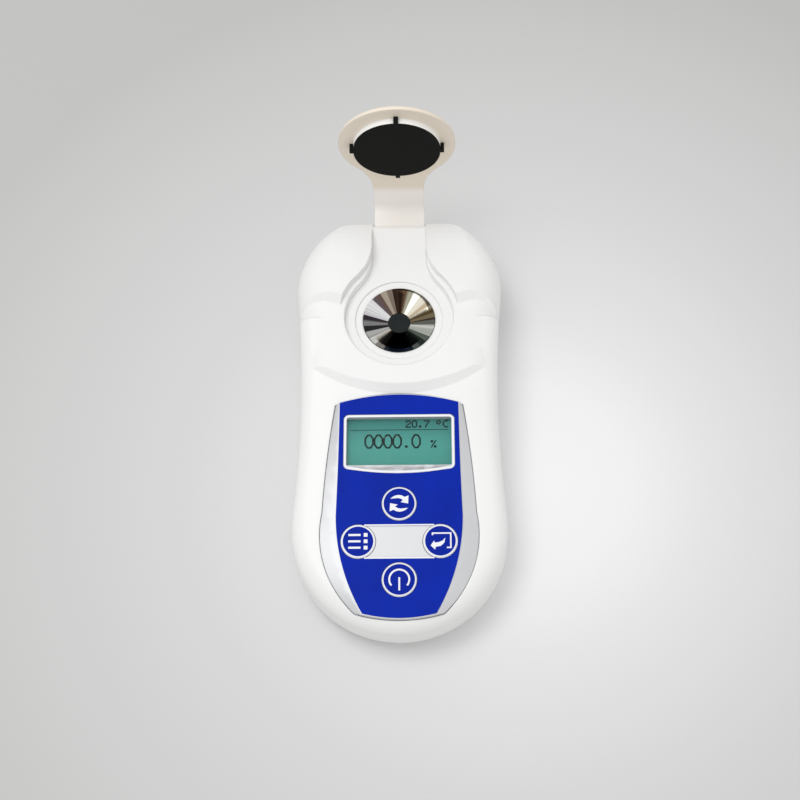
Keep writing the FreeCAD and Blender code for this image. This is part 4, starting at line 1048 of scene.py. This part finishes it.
@dataclass
class Panel(SubAssembly):
    """Silver panel, blue label and window, with the white print on them.

    Attributes:
        ink: Thickness of the ink.
        line: Width of the bar's border.
        frame_line: Width of the window's frame.
        frame_margin: Clear edge outside the window's frame.
        window_half: Half the window's width.
        window_top: Place of its upper edge.
        window_side_bottom: Lower end of its sides.
        window_bottom: Lowest place of its bowed lower edge.
        window_corner: Radius of its corners.
        corner_loss: Share of an inset that a corner's radius loses.
        foot_rise: Height of a lower corner's middle over the side's end, over its radius.
        foot_turn: Angle in degrees through which a lower corner turns.
        bow_trim: Angle in degrees left out at each end of the bowed lower edge.
        window_face: Height of the window's face over the deck.
        bar_half: Half the height of the key bar.
        key_hole: Radius of the label's openings for the keys.
    """

    ink: float = 0.03
    line: float = 0.36
    frame_line: float = 0.62
    frame_margin: float = 0.03
    window_half: float = 14.45
    window_top: float = -3.4
    window_side_bottom: float = -18.1
    window_bottom: float = -19.5
    window_corner: float = 1.2
    corner_loss: float = 0.4
    foot_rise: float = 0.75
    foot_turn: float = 82.0
    bow_trim: float = 1.0
    window_face: float = 0.55
    bar_half: float = 4.15
    key_hole: float = 4.6

    coats = {
        SILVER_LACQUER: ("panel_insert",), BLUE_FILM: ("front_label",), CLEAR_ACRYLIC: ("display_window",),
    }

    def window_line(self, inset: float) -> list[Point]:
        """Outline of the window, set in by a distance.

        Args:
            inset: Distance from the pane's edge.

        Returns:
            Points with softened corners and a bowed lower edge.
        """
        half = self.window_half - inset
        top = self.window_top - inset
        side = self.window_side_bottom + inset
        bottom = self.window_bottom + inset
        corner = self.window_corner - inset * self.corner_loss
        foot = side + corner * self.foot_rise
        sag = side - bottom
        radius = (half**2 + sag**2) / (2 * sag)
        points = circle((half - corner, top - corner), corner, 0, 90, 8)
        points += circle((-half + corner, top - corner), corner, 90, 180, 8)
        points += circle((-half + corner, foot), corner, 180, 180 + self.foot_turn, 8)
        reach = math.degrees(math.asin((half - corner) / radius)) - self.bow_trim
        points += circle((0.0, bottom + radius), radius, 270 - reach, 270 + reach, 24)
        points += circle((half - corner, foot), corner, 360 - self.foot_turn, 360, 8)
        return points

    def frame_print(self) -> Sheet:
        """Draw the white frame on the window.

        Returns:
            The sheet of the frame.
        """
        sheet = Sheet(self.window_face, self.window_face + self.ink)
        line = self.window_line(self.frame_line / 2 + self.frame_margin)
        sheet.add_ribbon(line, self.frame_line, closed=True)
        return sheet

    def bar_print(self) -> Sheet:
        """Draw the two white lines that join the side keys into a bar.

        Returns:
            The sheet of both lines.
        """
        left = self.deck.key_centre(Key.MENU)
        right = self.deck.key_centre(Key.ENTER)
        sheet = Sheet(self.deck.label_face, self.deck.label_face + self.ink)
        height = self.bar_half + self.line / 2
        reach = math.sqrt(self.key_hole**2 - height**2)
        for side in (1, -1):
            y = left[1] + side * height
            sheet.add_ribbon([(left[0] + reach, y), (right[0] - reach, y)], self.line)
        return sheet

    def pieces(self) -> list[Piece]:
        """Build the white print.

        Returns:
            The window's frame and the bar's lines.
        """
        window_frame = self.lay(self.frame_print(), "window_frame_print", WHITE_INK)
        bar = self.lay(self.bar_print(), "key_bar_print", WHITE_INK)
        return [window_frame, bar]


@dataclass
class Keys(SubAssembly):
    """White key caps with a blue disc and a white sign, over their plungers.

    Attributes:
        ink: Thickness of the ink.
        disc: Radius of the blue disc on the upper and lower keys.
        side_disc: Radius of the blue disc on the keys of the bar.
        sign_line: Width of the power sign's strokes.
        bar_line: Width of the menu sign's bars.
        bracket_line: Width of the enter sign's bracket.
        ring: Radius of the power sign's ring.
        ring_from: Angle in degrees at which the ring starts; it ends as far past 180.
        sign_scale: Size of the signs over their drawn size.
    """

    ink: float = 0.03
    disc: float = 3.98
    side_disc: float = 3.9
    sign_line: float = 0.42
    bar_line: float = 0.5
    bracket_line: float = 0.357
    ring: float = 2.35
    ring_from: float = -38.0
    sign_scale: float = 1.08

    coats = {
        WHITE_KEY: tuple("key_" + key.value for key in Key),
        BLACK_NYLON: tuple("plunger_" + key.value for key in Key),
    }

    def draw(self, key: Key, sheet: Sheet) -> None:
        """Add a key's sign about the key's axis.

        Args:
            key: The key.
            sheet: Sheet that takes the ink.
        """
        if key is Key.REFRESH:
            swoosh = [(-2.1, 1.15), (-1.55, 1.62), (-0.95, 1.92), (-0.2, 2.08), (0.6, 1.98)]
            head = [(1.35, 1.58), (2.25, 1.95), (2.15, -0.05), (0.35, 0.3), (0.95, 0.78)]
            under = [(0.35, 1.18), (-0.35, 1.32), (-1.25, 1.22)]
            arrow = list(reversed(swoosh + head + under))
            for turn in (0.0, 180.0):
                sheet.add_outline(moved(arrow, (0.0, 0.0), turn))
        elif key is Key.MENU:
            for row in (1.55, 0.0, -1.55):
                sheet.add_ribbon([(-2.3, row), (0.6, row)], self.bar_line)
                sheet.add_outline(rectangle(1.35, row - 0.45, 2.25, row + 0.45))
        elif key is Key.ENTER:
            bracket = [(-1.85, 1.35), (-1.85, 1.85), (2.45, 1.85), (2.45, -1.65), (1.5, -1.65)]
            sheet.add_ribbon(bracket, self.bracket_line)
            point = [(-1.35, -0.45), (-1.5, 0.05), (-2.3, -1.15), (-1.25, -2.15), (-1.12, -1.5)]
            shaft = [(0.1, -1.25), (0.95, -0.45), (1.15, 0.75), (0.55, 0.05), (-0.35, -0.35)]
            sheet.add_outline(point + shaft)
        else:
            ring = circle((0.0, 0.0), self.ring, self.ring_from, 180 - self.ring_from, 48)
            sheet.add_ribbon(ring, self.sign_line)
            sheet.add_ribbon([(0.0, 0.5), (0.0, -2.65)], self.sign_line)

    def build_print(self, key: Key) -> list[Piece]:
        """Build a key's print, which rides on the key's own body.

        Args:
            key: The key.

        Returns:
            The disc and the sign.
        """
        body = "key_" + key.value
        x, y = self.deck.key_centre(key)
        place = self.deck.matrix() @ Matrix.Translation(Vector((x, y, 0.0)))
        grow = Matrix.Diagonal((self.sign_scale, self.sign_scale, 1.0, 1.0))
        face = self.deck.label_face + self.deck.cap_proud
        sheet = Sheet(face, face + self.ink)
        radius = self.side_disc if key in (Key.MENU, Key.ENTER) else self.disc
        sheet.add_outline(circle((0.0, 0.0), radius))
        disc = sheet.make("disc_" + key.value, place, body, self.paintwork.material(BLUE_INK))
        sheet = Sheet(face + self.ink, face + 2 * self.ink)
        self.draw(key, sheet)
        white = self.paintwork.material(WHITE_INK)
        sign = sheet.make("sign_" + key.value, place @ grow, body, white)
        return [disc, sign]

    def pieces(self) -> list[Piece]:
        """Build the print on the four keys."""
        return [piece for key in Key for piece in self.build_print(key)]


@dataclass
class Housing(SubAssembly):
    """Both halves of the housing, the battery door and the case screws.

    Attributes:
        head_radius: Radius of a screw's head.
        shaft_radius: Radius of its shaft.
        head: Height of its head.
        slot_half: Half the width of the cross recess's arms.
        slot_reach: Length of the arms from the axis.
        slot_depth: Depth of the recess.
        slot_taper: Size of the recess's floor over its mouth.
        edge: Bevel round the head.
        steps: Sides of each round.
        far_x: Distance of the two screws at the cover's end from the middle.
    """

    head_radius: float = 2.3
    shaft_radius: float = 1.2
    head: float = 1.6
    slot_half: float = 0.32
    slot_reach: float = 1.35
    slot_depth: float = 0.9
    slot_taper: float = 0.8
    edge: float = 0.15
    steps: int = 48
    far_x: float = 18.0

    coats = {HOUSING_ABS: ("front_case", "rear_case", "battery_door"), ZINC_STEEL: ("case_screws",)}

    def places(self) -> list[Point]:
        """Find the four screws from the box round them.

        Returns:
            Their places in plan.
        """
        low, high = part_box("case_screws")
        far_y = high.y / MM - self.head_radius
        near_x, near_y = high.x / MM - self.head_radius, low.y / MM + self.head_radius
        pairs = ((self.far_x, far_y), (near_x, near_y))
        return [(side * x, y) for x, y in pairs for side in (1, -1)]

    def add_screw(self, mesh: bmesh.types.BMesh, x: float, y: float, low: float, high: float) -> None:
        """Add one screw that points up.

        Args:
            mesh: Mesh that takes the screw.
            x: Plan place along X.
            y: Plan place along Y.
            low: Height of the head's outer face.
            high: Height of the tip.
        """
        cross = [
            (self.slot_half, self.slot_half),
            (self.slot_half, self.slot_reach),
            (-self.slot_half, self.slot_reach),
        ]
        star = [point for turn in range(4) for point in moved(cross, (0.0, 0.0), 90.0 * turn)]
        rim = circle((0.0, 0.0), self.head_radius - self.edge, steps=self.steps)
        face_rim = [mesh.verts.new((x + px, y + py, low)) for px, py in rim]
        face_star = [mesh.verts.new((x + px, y + py, low)) for px, py in star]
        inner = [(x + px * self.slot_taper, y + py * self.slot_taper) for px, py in star]
        floor = [mesh.verts.new((px, py, low + self.slot_depth)) for px, py in inner]
        edges = []
        for ring in (face_rim, face_star):
            edges += [mesh.edges.new((ring[i], ring[i - 1])) for i in range(len(ring))]
        bmesh.ops.triangle_fill(mesh, edges=edges, use_beauty=True)
        for i in range(len(star)):
            mesh.faces.new((face_star[i], face_star[i - 1], floor[i - 1], floor[i]))
        mesh.faces.new(floor)
        levels = [
            (self.head_radius, low + self.edge),
            (self.head_radius, low + self.head),
            (self.shaft_radius, low + self.head),
            (self.shaft_radius, high),
        ]
        below = face_rim
        for radius, height in levels:
            outline = circle((x, y), radius, steps=self.steps)
            ring = [mesh.verts.new((px, py, height)) for px, py in outline]
            for i in range(self.steps):
                mesh.faces.new((below[i], below[i - 1], ring[i - 1], ring[i]))
            below = ring
        mesh.faces.new(below)

    def pieces(self) -> list[Piece]:
        """Build the four screws with their recesses, in place of the plain ones.

        Returns:
            The screws as one piece.
        """
        low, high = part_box("case_screws")
        mesh = bmesh.new()
        for x, y in self.places():
            self.add_screw(mesh, x, y, low.z / MM, high.z / MM)
        steel = self.paintwork.material(ZINC_STEEL)
        piece = solid_piece("case_screw_heads", mesh, Matrix.Scale(MM, 4), steel)
        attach(piece, "housing")
        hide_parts("case_screws")
        return [piece]


@dataclass
class Studio:
    """Pale floor with a painted pool of light, soft lamp and the camera.

    Attributes:
        distance: Camera's distance from the point it looks at.
        lean_deg: Camera's lean from the vertical towards the key end.
        side_deg: Camera's lean to the right.
        focal_px: Focal length in the picture's pixels.
        picture_px: Width of the picture in pixels.
        sensor: Width of the camera's sensor.
        target: Point that the camera looks at.
        lamp_place: Place of the lamp in metres.
        lamp_aim: Height of the point that the lamp faces.
        lamp_side: Side of the square lamp in metres.
        lamp_power: Power of the lamp in watts.
        fill_strength: Strength of the white surround.
        floor_half: Half the floor's side in metres.
        painted_glow_centre: Middle of the pool of light painted on the floor.
        painted_glow_reach: Distance at which the painted pool of light has faded to its darkest tone.
        painted_glow: Share of that distance, with the floor's painted tone there.
    """

    distance: float = 420.0
    lean_deg: float = 25.5
    side_deg: float = 1.2
    focal_px: float = 1579.9
    picture_px: float = 800.0
    sensor: float = 36.0
    target: tuple[float, float, float] = (0.2, 2.25, 18.0)
    lamp_place: tuple[float, float, float] = (-0.2, 0.07, 0.66)
    lamp_aim: float = 10.0
    lamp_side: float = 0.3
    lamp_power: float = 1.32
    fill_strength: float = 0.77
    floor_half: float = 12.0
    painted_glow_centre: tuple[float, float, float] = (33.0, -14.0, 0.0)
    painted_glow_reach: float = 180.0
    painted_glow: tuple[tuple[float, str], ...] = (
        (0.0, "#f6f6f6"), (0.16, "#f2f2f2"), (0.28, "#e6e6e6"), (0.5, "#d7d7d7"),
        (0.66, "#d0d0d0"), (0.81, "#cacac9"), (1.0, "#c1c1bf"),
    )

    def camera(self) -> None:
        """Place the camera at the photograph's viewing angle."""
        lean, side = math.radians(self.lean_deg), math.radians(self.side_deg)
        rise = math.cos(side)
        back = Vector((math.sin(side), -math.sin(lean) * rise, math.cos(lean) * rise))
        up = (Vector((0.0, 1.0, 0.0)) - back * back.y).normalized()
        data = bpy.data.cameras.new("camera")
        data.sensor_width = self.sensor
        data.lens = self.sensor * self.focal_px / self.picture_px
        data.clip_start = 0.01
        camera = new_object("camera", data)
        rotation = Matrix((up.cross(back), up, back)).transposed().to_4x4()
        place = (Vector(self.target) + back * self.distance) * MM
        camera.matrix_world = Matrix.Translation(place) @ rotation
        bpy.context.scene.camera = camera

    def floor(self) -> None:
        """Lay a large pale floor with a painted pool of light that is brightest near the object."""
        data = bpy.data.meshes.new("floor")
        half = self.floor_half
        corners = [(x, y, 0.0) for x, y in rectangle(-half, -half, half, half)]
        data.from_pydata(corners, [], [(0, 1, 2, 3)])
        piece = new_object("floor", data)
        material, tree = blank_material("studio_paper_painted_glow")
        away = add_node(
            tree,
            "ShaderNodeVectorMath",
            {"operation": "DISTANCE", 1: Vector(self.painted_glow_centre) * MM},
            {0: spot_on(tree)},
        )
        share = add_node(
            tree,
            "ShaderNodeMapRange",
            {"From Max": self.painted_glow_reach * MM},
            {"Value": away.outputs["Value"]},
        )
        # Painted light: the floor is lightest near the object and darkens outwards
        stops = [(at, srgb(code)) for at, code in self.painted_glow]
        tone = add_node(tree, "ShaderNodeValToRGB", {"stops": stops}, {"Fac": share.outputs["Result"]})
        shader = add_node(
            tree,
            "ShaderNodeBsdfPrincipled",
            {"Roughness": 0.9, "Specular IOR Level": 0.1},
            {"Base Color": tone.outputs["Color"]},
        )
        add_node(tree, "ShaderNodeOutputMaterial", links={"Surface": shader.outputs["BSDF"]})
        data.materials.append(material)

    def lights(self) -> None:
        """Light the object from the upper left over an even white surround."""
        data = bpy.data.lights.new("key_lamp", "AREA")
        data.size = self.lamp_side
        data.energy = self.lamp_power
        lamp = new_object("key_lamp", data)
        lamp.location = self.lamp_place
        lamp.rotation_mode = "QUATERNION"
        aim = Vector((0.0, 0.0, self.lamp_aim * MM)) - Vector(self.lamp_place)
        lamp.rotation_quaternion = aim.to_track_quat("-Z", "Y")
        world = bpy.data.worlds.new("studio")
        world.use_nodes = True
        world.node_tree.nodes.clear()
        fill = add_node(
            world.node_tree,
            "ShaderNodeBackground",
            {"Color": srgb("#ffffff"), "Strength": self.fill_strength},
        )
        add_node(world.node_tree, "ShaderNodeOutputWorld", links={"Surface": fill.outputs[0]})
        bpy.context.scene.world = world

    def build(self) -> None:
        """Set up the whole studio."""
        self.camera()
        self.floor()
        self.lights()
        bpy.context.scene.view_settings.view_transform = "Standard"


def main() -> None:
    """Build the pieces in order."""
    logging.basicConfig(level=logging.INFO, format="%(message)s")
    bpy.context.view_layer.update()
    paintwork, deck = Paintwork(), Deck()
    Studio().build()
    for part in (Housing, Cover, SampleWell, Panel, Display, Keys, Electronics, Battery):
        for piece in part(paintwork, deck).build():
            LOG.info("%s: %s", part.__name__, piece.name)


if __name__ == "__main__":
    main()
